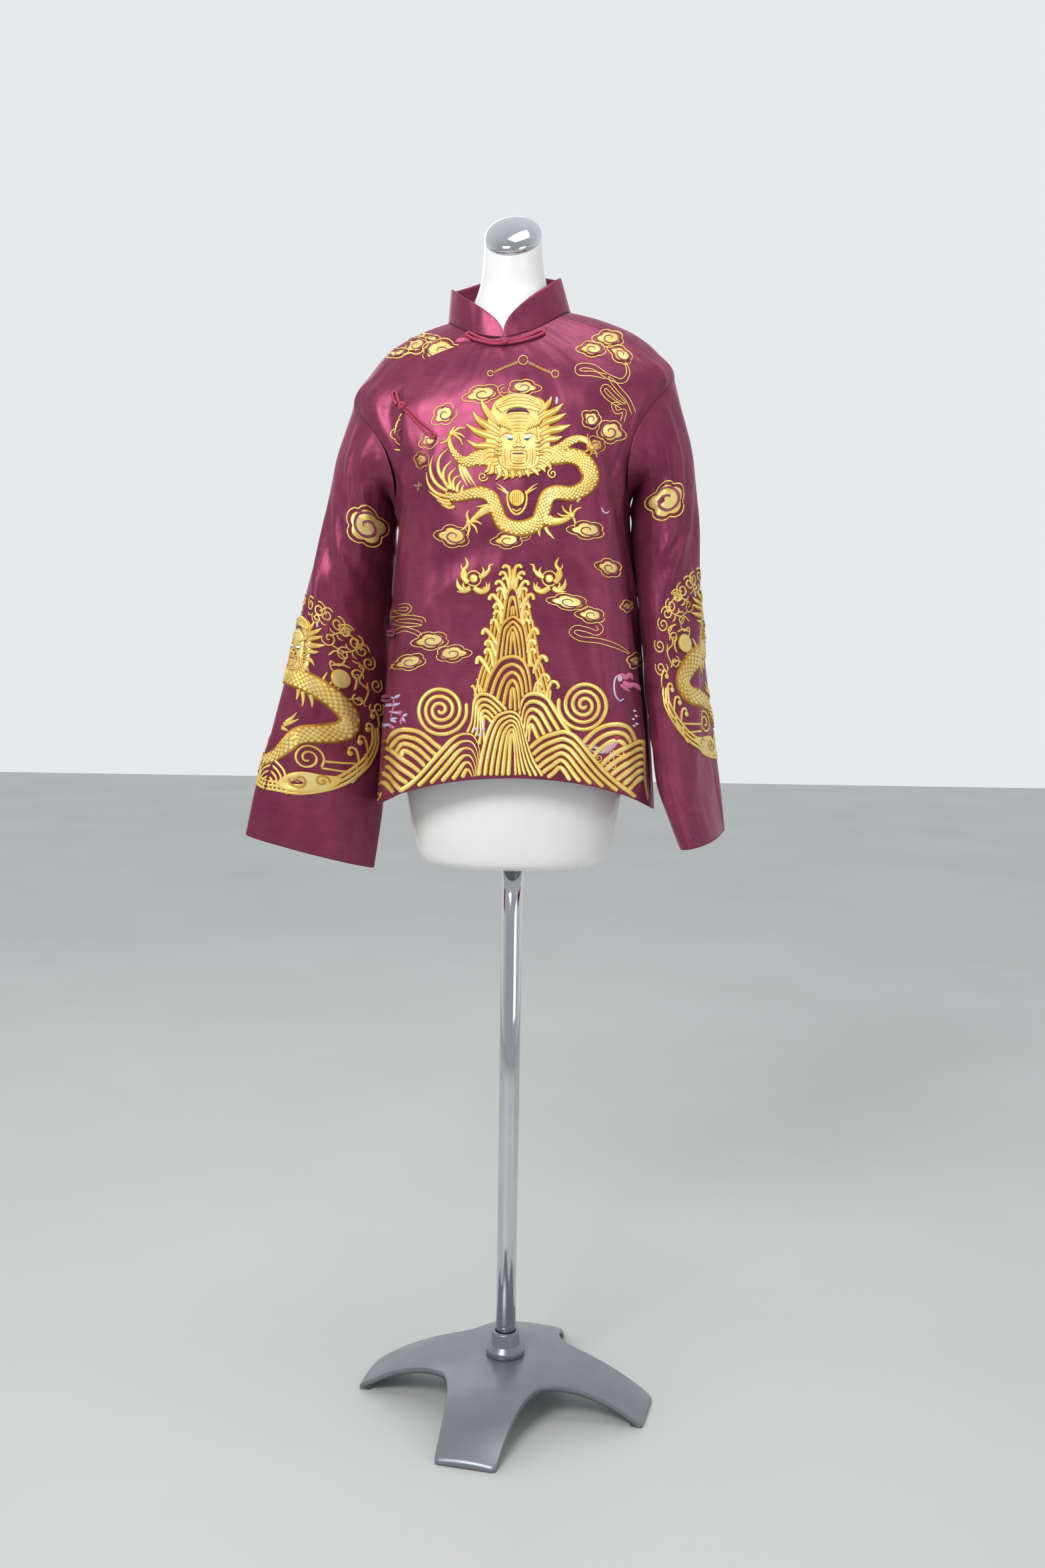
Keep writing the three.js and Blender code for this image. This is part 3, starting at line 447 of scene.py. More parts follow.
def body_panel(name, levels, columns, start, end, finish, stands_for, sink=None):
    level = np.repeat(levels[:, None], columns + 1, 1)
    share = np.linspace(0, 1, columns + 1)[None, :]
    first = start(levels)[:, None]
    last = end(levels)[:, None]
    angle = first + (last - first) * share
    inset = 0.07
    angle = np.clip(angle, first + inset, last - inset)
    outer = jacket_surface(angle, level)
    normals = jacket_normal(angle, level)
    if sink is not None:
        outer = outer - normals * sink(angle, level)[..., None]
    lay = np.stack([angle * DEGREE_WIDTH, level_height(level), np.zeros_like(level)], -1)
    return cloth_wall(name, outer, normals, lay, WALL, finish, stands_for)


ARMHOLE_LEVELS = 5 - np.cos(np.pi * np.arange(1, 45) / 44)


def main_levels():
    return np.concatenate([np.linspace(0, 4, 90), ARMHOLE_LEVELS, np.linspace(6, 10, 48)[1:]])


def armhole_end(side, cut, plus=0.0):
    def ends(levels):
        inside = (levels > 4) & (levels < 6)
        angle = np.where(inside, armhole_angle(levels, cut), 90.0)
        return side * angle + plus
    return ends


def sew_sleeve(name, sleeve, finish, stands_for):
    places = np.concatenate([[0.004, 0.04], np.linspace(0.1, sleeve.last, 128)])
    turns = np.arange(90) / 90
    turn, place = np.meshgrid(turns, places)
    outer = sleeve.surface(turn, place)
    normals = sleeve.normal(turn, place)
    lay = np.stack([np.abs(turn - 0.5) * SLEEVE_TURN_WIDTH, place * SLEEVE_PLACE_HEIGHT, 0 * turn], -1)
    return cloth_wall(name, outer, normals, lay, WALL, finish, stands_for, tube=True)


def sew_collar(finish):
    columns = 180
    gap = 0.5
    even = np.linspace(-1, 1, columns)
    angle = 180 + (180 - gap) * np.sin(even * np.pi / 2)
    from_end = np.minimum(angle, 360 - angle) - gap
    rounding = np.minimum(from_end / COLLAR_CORNER, 1)
    top = 0.14 + 0.86 * np.sqrt(1 - (1 - rounding) ** 2)
    heights = np.linspace(0, 1, 14)
    angles = np.repeat(angle[None, :], len(heights), 0)
    height = heights[:, None] * top[None, :]
    outer = collar_surface(angles, height)
    normals = normal_of(collar_surface, angles, height, 0.5, 0.02)
    lay = np.stack([angles * 1.3, height * COLLAR_SIDE_HEIGHT, 0 * height], -1)
    return cloth_wall("collar_cloth", outer, normals, lay, COLLAR_WALL, finish, ["collar"])


# ---- shader maths -------------------------------------------------------
def linear(code):
    """Scene colour of a six-figure screen colour."""
    parts = [int(code[i:i + 2], 16) / 255 for i in (0, 2, 4)]
    return tuple(p / 12.92 if p <= 0.04045 else ((p + 0.055) / 1.055) ** 2.4 for p in parts) + (1.0,)


class Signal:
    """A shader socket, so that sums on it add Math nodes."""

    def __init__(self, finish, socket):
        self.finish = finish
        self.socket = socket

    def maths(self, operation, *values):
        inputs = dict(enumerate(values))
        return self.finish.node("Math", {"operation": operation}, inputs)

    def __add__(self, other):
        return self.maths("ADD", self, other)

    __radd__ = __add__

    def __sub__(self, other):
        return self.maths("SUBTRACT", self, other)

    def __rsub__(self, other):
        return self.maths("SUBTRACT", other, self)

    def __mul__(self, other):
        return self.maths("MULTIPLY", self, other)

    __rmul__ = __mul__

    def sine(self):
        return self.maths("SINE", self)

    def clamped(self):
        return self.finish.node("Clamp", {}, {0: self, 1: 0.0, 2: 1.0})


class Finish:
    """One material and its node tree."""

    def __init__(self, name):
        self.material = bpy.data.materials.new(name)
        self.material.use_nodes = True
        self.tree = self.material.node_tree
        self.tree.nodes.clear()

    def node(self, kind, settings, sockets, out=0):
        made = self.tree.nodes.new("ShaderNode" + kind)
        for key, value in settings.items():
            if key == "stops":
                ramp = made.color_ramp
                while len(ramp.elements) < len(value):
                    ramp.elements.new(0.5)
                for element, (position, colour) in zip(ramp.elements, value):
                    element.position = position
                    element.color = colour
            else:
                setattr(made, key, value)
        for key, value in sockets.items():
            if isinstance(value, Signal):
                self.tree.links.new(value.socket, made.inputs[key])
            else:
                made.inputs[key].default_value = value
        return Signal(self, made.outputs[out])

    def mark(self, name, out="Vector"):
        return self.node("Attribute", {"attribute_name": name}, {}, out)

    def place(self):
        return self.node("TexCoord", {}, {}, "Object")

    def parts(self, vector):
        return [self.node("SeparateXYZ", {}, {0: vector}, axis) for axis in (0, 1, 2)]

    def noise(self, vector, scale, detail=3.0, roughness=0.55):
        sockets = {"Vector": vector, "Scale": scale, "Detail": detail, "Roughness": roughness}
        return self.node("TexNoise", {"noise_dimensions": "3D"}, sockets)

    def blend(self, factor, first, second):
        sockets = {0: factor, 6: first, 7: second}
        return self.node("Mix", {"data_type": "RGBA"}, sockets, 2)

    def tinted(self, colour, other):
        settings = {"data_type": "RGBA", "blend_type": "MULTIPLY"}
        return self.node("Mix", settings, {0: 1.0, 6: colour, 7: other}, 2)

    def ramp(self, factor, stops):
        return self.node("ValToRGB", {"stops": stops}, {0: factor})

    def relief(self, height, strength, distance, under=None):
        sockets = {"Height": height, "Strength": strength, "Distance": distance}
        if under is not None:
            sockets["Normal"] = under
        return self.node("Bump", {}, sockets)

    def shader(self, sockets):
        surface = self.node("BsdfPrincipled", {}, sockets)
        output = self.tree.nodes.new("ShaderNodeOutputMaterial")
        self.tree.links.new(surface.socket, output.inputs["Surface"])
        return self.material


def satin_finish(name, shaded, lit, roughness=0.36):
    """Satin: fine floats across the weave, a soft gleam and a slightly crushed face. Its colour mixes a
    shaded and a lit copy of the maroon by noise: painted shade and painted sheen in patches.
    """
    f = Finish(name)
    lay = f.mark("lay")
    across, along, _ = f.parts(lay)
    place = f.place()
    weave = ((across * 7.5 + along * 1.9).sine() * 0.5 + (along * 9.5).sine() * 0.5)
    mottle = f.noise(place, 7.0, 3.0)
    crush = f.noise(place, 38.0, 4.0)
    slub = f.noise(f.node("VectorMath", {"operation": "MULTIPLY"}, {0: lay, 1: (0.03, 1.6, 1.0)}), 1.0)
    grain = f.noise(place, 1500.0, 2.0)
    painted_light_tone = (mottle * 0.3 + crush * 0.2 + slub * 0.25 + grain * 0.25)
    # Painted shade and painted sheen: the noise picks between the shaded and the lit maroon.
    colour = f.blend(((painted_light_tone - 0.36) * 3.4).clamped(), shaded, lit)
    shine = ((mottle - 0.5) * 0.1 + (slub - 0.5) * 0.12 + roughness).clamped()
    drape = f.noise(f.node("VectorMath", {"operation": "MULTIPLY"}, {0: lay, 1: (0.021, 0.0075, 1.0)}), 1.0,
                    2.0)
    folds = f.relief(drape, 0.42, 0.02)
    first = f.relief(crush, 0.22, 0.0012, folds)
    normal = f.relief(weave * 0.6 + grain * 0.5, 0.14, 0.0002, first)
    return f.shader({
        "Base Color": colour, "Metallic": 0.42, "Roughness": shine, "Normal": normal,
        "Specular IOR Level": 0.5, "Specular Tint": linear("f3a9c4"), "IOR": 1.5,
        "Sheen Weight": 0.08, "Sheen Roughness": 0.4, "Sheen Tint": linear("e79cb8"),
    })


def gold_finish():
    """Gilt thread laid in close stitches across each raised shape. Its colour runs from a painted shadow to a
    painted highlight by noise and the stitches, and painted shade darkens each shape's rim.
    """
    f = Finish("gilt_thread")
    tint = f.mark("tint", "Color")
    across, along, edge = f.parts(f.mark("thread"))
    place = f.place()
    wander = f.noise(place, 230.0, 2.0)
    stitch = (along * 5.4 + across * 1.3 + wander * 4.0).sine()
    streak = f.noise(place, 700.0, 2.0)
    shade = f.noise(place, 36.0, 3.0)
    # Painted shade at the rim, where the raised thread rounds down to the cloth; the ramp below runs from
    # painted shadow to painted highlight.
    rim = ((edge - 0.42) * 1.7).clamped()
    painted_light_tone = (shade * 0.46 + streak * 0.3 + stitch * 0.09 + 0.27 - rim * 0.52).clamped()
    gilt = f.ramp(painted_light_tone, [
        (0.08, linear("74400f")), (0.26, linear("b67c26")), (0.44, linear("e4b348")),
        (0.6, linear("f7d772")), (0.78, linear("ffedb0")),
    ])
    colour = f.tinted(gilt, tint)
    normal = f.relief(stitch * 0.5 + streak * 0.7, 0.5, 0.0005)
    return f.shader({
        "Base Color": colour, "Metallic": (shade * 0.4 + 0.35).clamped(),
        "Roughness": (streak * 0.24 + 0.24).clamped(), "Normal": normal,
        "Specular IOR Level": 0.6,
    })


def silk_finish():
    """Coloured embroidery silk, darker in random streaks and towards each shape's rim; the rim darkening is
    painted shade.
    """
    f = Finish("embroidery_silk")
    tint = f.mark("tint", "Color")
    across, along, edge = f.parts(f.mark("thread"))
    place = f.place()
    streak = f.noise(place, 480.0, 2.0)
    stitch = (along * 6.0 + across * 1.1 + streak * 2.0).sine()
    # Random streaks, and painted shade towards the rim of each raised shape.
    streak_and_rim_shade = (streak * 0.5 + edge * edge * 0.35).clamped()
    colour = f.blend(streak_and_rim_shade, tint, f.tinted(tint, (0.5, 0.42, 0.46, 1.0)))
    normal = f.relief(stitch * 0.6 + streak * 0.5, 0.4, 0.0004)
    return f.shader({
        "Base Color": colour, "Roughness": (streak * 0.3 + 0.3).clamped(), "Normal": normal,
        "Sheen Weight": 0.2,
    })


def cord_finish(name, shaded, lit):
    """Satin-covered cord of the frogs, wound on the slant. Its colour mixes a shaded and a lit copy of the
    pink by noise and the twist: painted shade and painted sheen.
    """
    f = Finish(name)
    across, along, _ = f.parts(f.mark("thread"))
    place = f.place()
    mottle = f.noise(place, 160.0, 3.0)
    twist = (along * 2.2 + across * 1.5 + mottle * 1.5).sine()
    # Painted shade and painted sheen along the twist and in noise patches.
    colour = f.blend((mottle * 0.8 + twist * 0.18).clamped(), shaded, lit)
    normal = f.relief(twist * 0.7 + mottle * 0.5, 0.5, 0.0006)
    return f.shader({
        "Base Color": colour, "Roughness": (mottle * 0.3 + 0.3).clamped(), "Normal": normal,
        "Sheen Weight": 0.4, "Sheen Tint": linear("f0a0b8"),
    })


def gloss_finish():
    f = Finish("gloss_white_shell")
    place = f.place()
    haze = f.noise(place, 9.0, 4.0)
    dust = f.noise(place, 260.0, 2.0)
    colour = f.blend((haze * 0.7).clamped(), linear("f0f0ee"), linear("dddddb"))
    normal = f.relief(haze * 0.8 + dust * 0.05, 0.08, 0.002)
    return f.shader({
        "Base Color": colour, "Roughness": (haze * 0.12 + dust * 0.05 + 0.05).clamped(),
        "Coat Weight": 0.6, "Coat Roughness": 0.04, "Normal": normal,
    })


def chrome_finish():
    f = Finish("mirror_chrome")
    place = f.place()
    haze = f.noise(place, 30.0, 3.0)
    rub = f.noise(place, 900.0, 2.0)
    colour = f.blend(haze, linear("d9dbdf"), linear("c4c7cc"))
    return f.shader({
        "Base Color": colour, "Metallic": 1.0,
        "Roughness": (haze * 0.05 + rub * 0.03 + 0.02).clamped(),
        "Normal": f.relief(haze, 0.05, 0.0008),
    })


def grey_finish():
    """Satin metallic paint, a little rubbed and dusty."""
    f = Finish("satin_grey_paint")
    place = f.place()
    flake = f.noise(place, 1300.0, 2.0)
    dust = f.noise(place, 22.0, 5.0)
    colour = f.blend((dust * 0.9).clamped(), linear("868b92"), linear("6f747b"))
    normal = f.relief(flake * 0.5 + dust * 0.4, 0.12, 0.0004)
    return f.shader({
        "Base Color": colour, "Metallic": 0.55, "Roughness": (dust * 0.22 + 0.24).clamped(),
        "Normal": normal, "Coat Weight": 0.25, "Coat Roughness": 0.2,
    })


def floor_finish():
    f = Finish("pale_floor")
    place = f.place()
    cloud = f.noise(place, 1.4, 5.0)
    colour = f.blend(cloud, linear("c9c9c8"), linear("bfbfbd"))
    return f.shader({"Base Color": colour, "Roughness": (cloud * 0.2 + 0.35).clamped()})


# The two maroons are a shaded and a lit copy of one colour, for painted shade and painted sheen.
SATIN = satin_finish("maroon_satin", linear("632540"), linear("95435c"))
GILT = gold_finish()
SILK = silk_finish()
CORD = cord_finish("frog_cord", linear("8c1a3c"), linear("c2365c"))
# A darker copy of the frog cord for the frogs at the sides: painted shade, where the arms shade them.
SHADED_SIDE_CORD = cord_finish("side_frog_cord_painted_shade", linear("5c1c38"), linear("84304e"))
GLOSS = gloss_finish()
CHROME = chrome_finish()
GREY = grey_finish()

# ---- cloth pieces -------------------------------------------------------
front_cloth = body_panel(
    "front_main_cloth", main_levels(), 124, opening_angle, armhole_end(1, ARMHOLE_FRONT),
    SATIN, ["front_main"],
)
back_cloth = body_panel(
    "back_cloth", main_levels(), 90, armhole_end(1, -ARMHOLE_BACK),
    armhole_end(-1, -ARMHOLE_BACK, 360.0), SATIN, ["back"],
)
under_levels = np.concatenate([np.linspace(3.2, 4, 20), ARMHOLE_LEVELS, np.linspace(6, 10, 48)[1:]])
under_cloth = body_panel(
    "front_under_cloth", under_levels, 44, armhole_end(-1, ARMHOLE_FRONT),
    lambda level: np.minimum(opening_angle(level) + UNDERLAP_WIDTH, 3), SATIN, ["front_under"],
    sink=underlap_sink,
)
sleeve_right_cloth = sew_sleeve("sleeve_right_cloth", sleeve_right, SATIN, ["sleeve_right"])
sleeve_left_cloth = sew_sleeve("sleeve_left_cloth", sleeve_left, SATIN, ["sleeve_left"])
collar_cloth = sew_collar(SATIN)

# ---- embroidery ---------------------------------------------------------
def inside(points, outline):
    """Which points lie within a closed outline."""
    x, y = points[:, 0], points[:, 1]
    odd = np.zeros(len(points), bool)
    for (x0, y0), (x1, y1) in zip(outline, np.roll(outline, -1, 0)):
        crossing = (y0 > y) != (y1 > y)
        reach = (x1 - x0) * (y - y0) / (y1 - y0 if y1 != y0 else 1e-9) + x0
        odd ^= crossing & (x < reach)
    return odd


def smooth_path(points, step, closed=False, sharp=False):
    """Evenly spaced points on a curve, or on straight lines, through the given ones."""
    p = np.asarray(points, float)
    if closed:
        p = np.concatenate([p[-1:], p, p[:2]])
    elif not sharp:
        p = np.concatenate([2 * p[:1] - p[1:2], p, 2 * p[-1:] - p[-2:-1]])
    if sharp:
        fine = p
    else:
        t = np.linspace(0, 1, 13)[:-1, None]
        fine = [catmull(p[i - 1], p[i], p[i + 1], p[i + 2], t) for i in range(1, len(p) - 2)]
        fine = np.concatenate(fine + [p[-2:-1]])
    lengths = np.append(0, np.cumsum(np.linalg.norm(np.diff(fine, axis=0), axis=1)))
    count = max(int(round(lengths[-1] / step)), 2)
    at = np.linspace(0, lengths[-1], count + 1)
    return np.stack([np.interp(at, lengths, fine[:, i]) for i in (0, 1)], 1)


class Plan:
    """Finds the angle and level of the cloth that lies under a point of a flat plan."""

    STEP = 3.0

    def __init__(self, project, angles, corner, size):
        angle, level = np.meshgrid(angles, np.linspace(0, NECK_LEVEL, 161))
        seen = project(jacket_surface(angle, level, fine=False)).reshape(-1, 2)
        tree = KDTree(len(seen))
        for i, (u, v) in enumerate(seen):
            tree.insert((u, v, 0), i)
        tree.balance()
        self.corner = np.array(corner, float)
        u = np.arange(corner[0], corner[0] + size[0], self.STEP)
        v = np.arange(corner[1], corner[1] + size[1], self.STEP)
        self.target = np.stack(np.meshgrid(u, v), -1)
        nearest = [tree.find((a, b, 0))[1] for a, b in self.target.reshape(-1, 2)]
        self.angle = angle.ravel()[nearest].reshape(self.target.shape[:2])
        self.level = level.ravel()[nearest].reshape(self.target.shape[:2])
        low, high = angles[0], angles[-1]
        for _ in range(6):
            self.close_in(project, low, high)
        here = project(jacket_surface(self.angle, self.level, fine=False))
        self.good = np.linalg.norm(here - self.target, axis=-1) < 1.5

    def close_in(self, project, low, high):
        def seen(angle, level):
            return project(jacket_surface(angle, level, fine=False))
        here = seen(self.angle, self.level)
        by_angle = (seen(self.angle + 0.2, self.level) - here) / 0.2
        by_level = (seen(self.angle, self.level + 0.01) - here) / 0.01
        miss = self.target - here
        cross = by_angle[..., 0] * by_level[..., 1] - by_angle[..., 1] * by_level[..., 0]
        cross = np.where(np.abs(cross) < 1e-3, 1e-3, cross)
        turn = (miss[..., 0] * by_level[..., 1] - miss[..., 1] * by_level[..., 0]) / cross
        rise = (by_angle[..., 0] * miss[..., 1] - by_angle[..., 1] * miss[..., 0]) / cross
        self.angle = np.clip(self.angle + np.clip(turn, -3, 3), low, high)
        self.level = np.clip(self.level + np.clip(rise, -0.3, 0.3), -0.2, NECK_LEVEL)

    def find(self, points):
        spot = (points - self.corner) / self.STEP
        rows, columns = self.angle.shape
        spot = np.clip(spot, 0, [columns - 1.001, rows - 1.001])
        column, row = np.floor(spot).astype(int).T
        across, down = (spot - np.floor(spot)).T
        def between(field):
            top = field[row, column] * (1 - across) + field[row, column + 1] * across
            low = field[row + 1, column] * (1 - across) + field[row + 1, column + 1] * across
            return top * (1 - down) + low * down
        return between(self.angle), between(self.level), between(self.good * 1.0) > 0.99


class BodyGround:
    """The part of the jacket's body that a piece of embroidery is worked on."""

    def __init__(self, plan, reach, sink=None):
        self.plan = plan
        self.reach = reach
        self.sink = sink

    def find(self, points):
        angle, level, good = self.plan.find(points)
        return angle, level, good & self.reach(angle, level)

    def surface(self, angle, level):
        points, normals = jacket_surface(angle, level), jacket_normal(angle, level)
        if self.sink is not None:
            points = points - normals * self.sink(angle, level)[:, None]
        return points, normals


class SleeveGround:
    """A sleeve unrolled about a centre on its over-arm line, in millimetres: across is
    positive towards the front and down towards the cuff."""

    def __init__(self, sleeve, height):
        self.sleeve = sleeve
        places = np.linspace(0.3, sleeve.last, 200)
        line = sleeve.smooth(np.zeros(200), places)
        run = np.append(0, np.cumsum(np.linalg.norm(np.diff(line, axis=0), axis=1)))
        self.places, self.run = places, run
        self.middle = np.interp(-height, -line[:, 2], run)
        turns = np.linspace(0, 1, 65)
        self.girth = []
        for place in places:
            ring = sleeve.smooth(turns, np.full(65, place))
            self.girth.append(np.linalg.norm(np.diff(ring, axis=0), axis=1).sum())

    def find(self, points):
        along = self.middle + points[:, 1]
        place = np.interp(along, self.run, self.places)
        around = points[:, 0] / np.interp(place, self.places, self.girth)
        return around, place, (along > 8) & (along < self.run[-1] - 4)

    def surface(self, around, place):
        return self.sleeve.surface(around, place), self.sleeve.normal(around, place)


PROFILE = np.array([(-0.5, 0), (-0.45, 0.42), (-0.26, 0.86), (0, 1), (0.26, 0.86), (0.45, 0.42), (0.5, 0)])
# Rings of a padded shape: inset from its rim, least share of its reach, rise, edge shading.
PADDING = [(0, 1, None, 1), (0.35, 0.93, 0.5, 1), (1.4, 0.8, 0.86, 0.6), (3.4, 0.6, 1.0, 0.2),
           (9, 0.35, 1.06, 0)]
SUNK = 0.35
ARCH_SHARE = 0.9
THINNEST_ARCH = 5
BRIGHT = (1.0, 1.0, 1.0)
WARM = (0.8, 0.66, 0.5)
# AMBER is a darker gold: a detail colour, and painted shade on motifs at the shaded sides of the front.
AMBER = (0.72, 0.58, 0.42)
# Darker gold laid in the grooves of the mane, brow and face and in the nostrils: painted shade.
FURROW_SHADE = (0.82, 0.66, 0.44)
BROWN = (0.3, 0.05, 0.09)
MAROON = (0.13, 0.012, 0.05)
WHITE = (0.82, 0.8, 0.83)
PINK = (0.75, 0.16, 0.34)
RED = (0.5, 0.03, 0.05)
TEAL = (0.02, 0.22, 0.2)
GROOVE = (0.3, 0.05, 0.1)


class Embroidery:
    """Raised stitching, drawn on a flat plan and then laid on the cloth."""

    def __init__(self, ground):
        self.ground = ground
        self.origin = np.zeros(2)
        self.unit = np.ones(2)
        self.covered = []
        self.points, self.heights, self.threads, self.tints = [], [], [], []
        self.faces, self.kinds = [], []
        self.count = 0

    def draw_from(self, origin, unit, mirror=1.0):
        self.origin = np.asarray(origin, float)
        self.unit = np.array([unit * mirror, unit])
        return self

    def cover(self, outline):
        """Later cords stop at this outline."""
        self.covered.append(self.origin + np.asarray(outline, float) * self.unit)

    def runs(self, path):
        *_, free = self.ground.find(path)
        for outline in self.covered:
            free &= ~inside(path, outline)
        edges = np.flatnonzero(np.diff(np.concatenate([[0], free.astype(int), [0]])))
        return [slice(a, b) for a, b in zip(edges[::2], edges[1::2]) if b - a >= 3]

    def add(self, points, heights, threads, tint, faces, silk):
        self.points.append(points)
        self.heights.append(heights)
        self.threads.append(threads)
        self.tints.append(np.tile(np.append(tint, 1.0), (len(points), 1)))
        for group in faces:
            self.faces.append(np.asarray(group) + self.count)
            self.kinds.append(np.full(len(group), int(silk)))
        self.count += len(points)

    def cord(self, path, widths, height=1.3, tint=BRIGHT, silk=False, closed=False, sharp=False,
             step=2.2, blunt=0.45, lift=0.0):
        """A rounded cord along a path. Its widths are spread evenly from end to end."""
        scale = self.unit[1]
        line = smooth_path(self.origin + np.asarray(path, float) * self.unit, step, closed, sharp)
        share = np.linspace(0, 1, len(line))
        widths = np.atleast_1d(np.asarray(widths, float)) * scale
        width = np.interp(share, np.linspace(0, 1, len(widths)), widths)
        run = np.gradient(line, axis=0)
        run /= np.maximum(np.linalg.norm(run, axis=1, keepdims=True), 1e-9)
        aside = np.stack([-run[:, 1], run[:, 0]], 1)
        rise = height * np.sqrt(np.maximum(width, 1e-6) / max(width.max(), 1e-6))
        for part in self.runs(line):
            narrow = np.ones(part.stop - part.start)
            if not (closed and len(narrow) == len(line)):
                narrow[0] = narrow[-1] = blunt
                if len(narrow) > 6:
                    narrow[1] = narrow[-2] = (1 + blunt) / 2 + 0.15
            breadth = PROFILE[:, 0] * (width[part] * narrow)[:, None]
            ring = line[part, None] + aside[part, None] * breadth[..., None]
            tall = lift + PROFILE[:, 1] * (rise[part] * np.sqrt(narrow))[:, None]
            tall[:, [0, -1]] = -SUNK
            sections = len(narrow)
            sides = len(PROFILE)
            along = np.repeat(np.arange(sections)[:, None] * step, sides, 1)
            across = np.repeat(PROFILE[None, :, 0], sections, 0) * width[part, None]
            edge = np.repeat(np.abs(PROFILE[None, :, 0]) * 2, sections, 0)
            edge[[0, -1]] = 1
            faces = [grid_faces(sections, sides)]
            index = np.arange(sections) * sides
            under = np.stack([index[1:], index[:-1], index[:-1] + sides - 1, index[1:] + sides - 1], 1)
            caps = np.stack([np.arange(sides)[::-1], index[-1] + np.arange(sides)])
            threads = np.stack([across.ravel(), along.ravel(), edge.ravel()], 1)
            self.add(ring.reshape(-1, 2), tall.ravel(), threads, tint, [*faces, under, caps], silk)

    def patch(self, outline, height=1.4, tint=BRIGHT, silk=False, step=2.4, lift=0.0,
              sharp=False, centre=None):
        """A raised filling whose outline is all in sight of its centre."""
        rim = self.origin + np.asarray(outline, float) * self.unit
        rim = smooth_path(rim if not sharp else np.concatenate([rim, rim[:1]]), step, not sharp, sharp)
        rim = rim[:-1]
        middle = rim.mean(0) if centre is None else self.origin + np.asarray(centre) * self.unit
        share = np.ones(len(rim))
        for _ in range(14):
            *_, free = self.ground.find(middle + (rim - middle) * share[:, None])
            share = np.where(free, share, share - 0.07)
        if not free.all():
            return
        rim = middle + (rim - middle) * share[:, None]
        reach = np.linalg.norm(rim - middle, axis=1).mean()
        rings = [(max(1 - inset / reach, least), up, edge) for inset, least, up, edge in PADDING]
        points = [middle + (rim - middle) * share for share, *_ in rings]
        tall = [np.full(len(rim), -SUNK if up is None else lift + up * height) for _, up, _ in rings]
        n = len(rim)
        points = np.concatenate(points + [middle[None], middle[None]])
        tall = np.concatenate(tall + [[lift + 1.08 * height], [-SUNK]])
        around = np.arange(n)
        last = (len(rings) - 1) * n
        top = np.stack([last + around, last + (around + 1) % n, np.full(n, len(points) - 2)], 1)
        under = np.stack([(around + 1) % n, around, np.full(n, len(points) - 1)], 1)
        slant = (points - middle) @ np.array([[0.8, 0.6], [-0.6, 0.8]])
        edge = np.concatenate([np.full(n, edge) for *_, edge in rings] + [[0, 1]])
        self.add(points, tall, np.column_stack([slant, edge]), tint,
                 [grid_faces(len(rings), n, True), top, under], silk)

    def oval(self, x, y, wide, high, height=1.3, tint=BRIGHT, silk=False, lift=0.0, turn=0.0, step=2.0):
        a = np.linspace(0, 2 * np.pi, 13)[:-1]
        turn = math.radians(turn)
        across, down = wide / 2 * np.cos(a), high / 2 * np.sin(a)
        outline = np.stack([x + across * math.cos(turn) - down * math.sin(turn),
                            y + across * math.sin(turn) + down * math.cos(turn)], 1)
        self.patch(outline, height, tint, silk, step=step, lift=lift)

    def spiral(self, x, y, radius, turns, width, start=0.0, way=1, inner=0.0, **how):
        t = np.linspace(0, 1, max(int(12 * turns), 8))
        a = math.radians(start) + way * 2 * np.pi * turns * t
        r = inner + (radius - inner) * t
        self.cord(np.stack([x + r * np.cos(a), y + r * np.sin(a)], 1), width, **how)

    def cloud(self, x, y, wide, high, turn=0.0, flip=1, curls=1.3, line=6.5, tint=BRIGHT):
        """A scalloped cloud: an outline, a raised filling and the groove of its scroll."""
        a = np.linspace(0, 2 * np.pi, 61)[:-1]
        scallop = np.abs(np.sin(2.5 * a + 0.4)) ** 0.6
        tail = 1 + 0.24 * bump(angle_between(np.degrees(a), 172), 24)
        spin = math.radians(turn)

        def shape(radius, angle):
            across = wide / 2 * radius * np.cos(angle) * flip
            down = high / 2 * radius * np.sin(angle)
            return np.stack([x + across * math.cos(spin) - down * math.sin(spin),
                             y + across * math.sin(spin) + down * math.cos(spin)], 1)

        edge = (0.78 + 0.22 * scallop) * tail
        self.cord(shape(edge, a), line, 1.1, tint=tint, closed=True, step=1.8)
        inset = 1 - 2 * (line + 24) / (wide + high)
        self.patch(shape(edge * inset, a), 1.4, tint=tint, step=1.8)
        t = np.linspace(0, 1, 20)
        groove = min(wide, high) * 0.085
        self.cord(shape(0.1 + 0.62 * t ** 0.9, 0.3 - 2 * np.pi * curls * t),
                  [groove * 0.6, groove, groove, groove * 0.5],
                  0.45, tint=GROOVE, silk=True, lift=1.5, step=1.6)

    def ribbon(self, path, width, line=5.5, tint=BRIGHT):
        """A trail of cloud: two thin lines side by side, joined at its first end."""
        p = smooth_path(path, 8.0)
        run = np.gradient(p, axis=0)
        run /= np.linalg.norm(run, axis=1, keepdims=True)
        aside = np.stack([-run[:, 1], run[:, 0]], 1)
        spread = width / 2 * np.sqrt(np.clip(np.linspace(0, 5, len(p)), 0, 1))[:, None]
        loop = np.concatenate([(p + aside * spread)[::-1], (p - aside * spread)[1:]])
        self.cord(loop, line, 0.9, tint=tint, step=1.8)

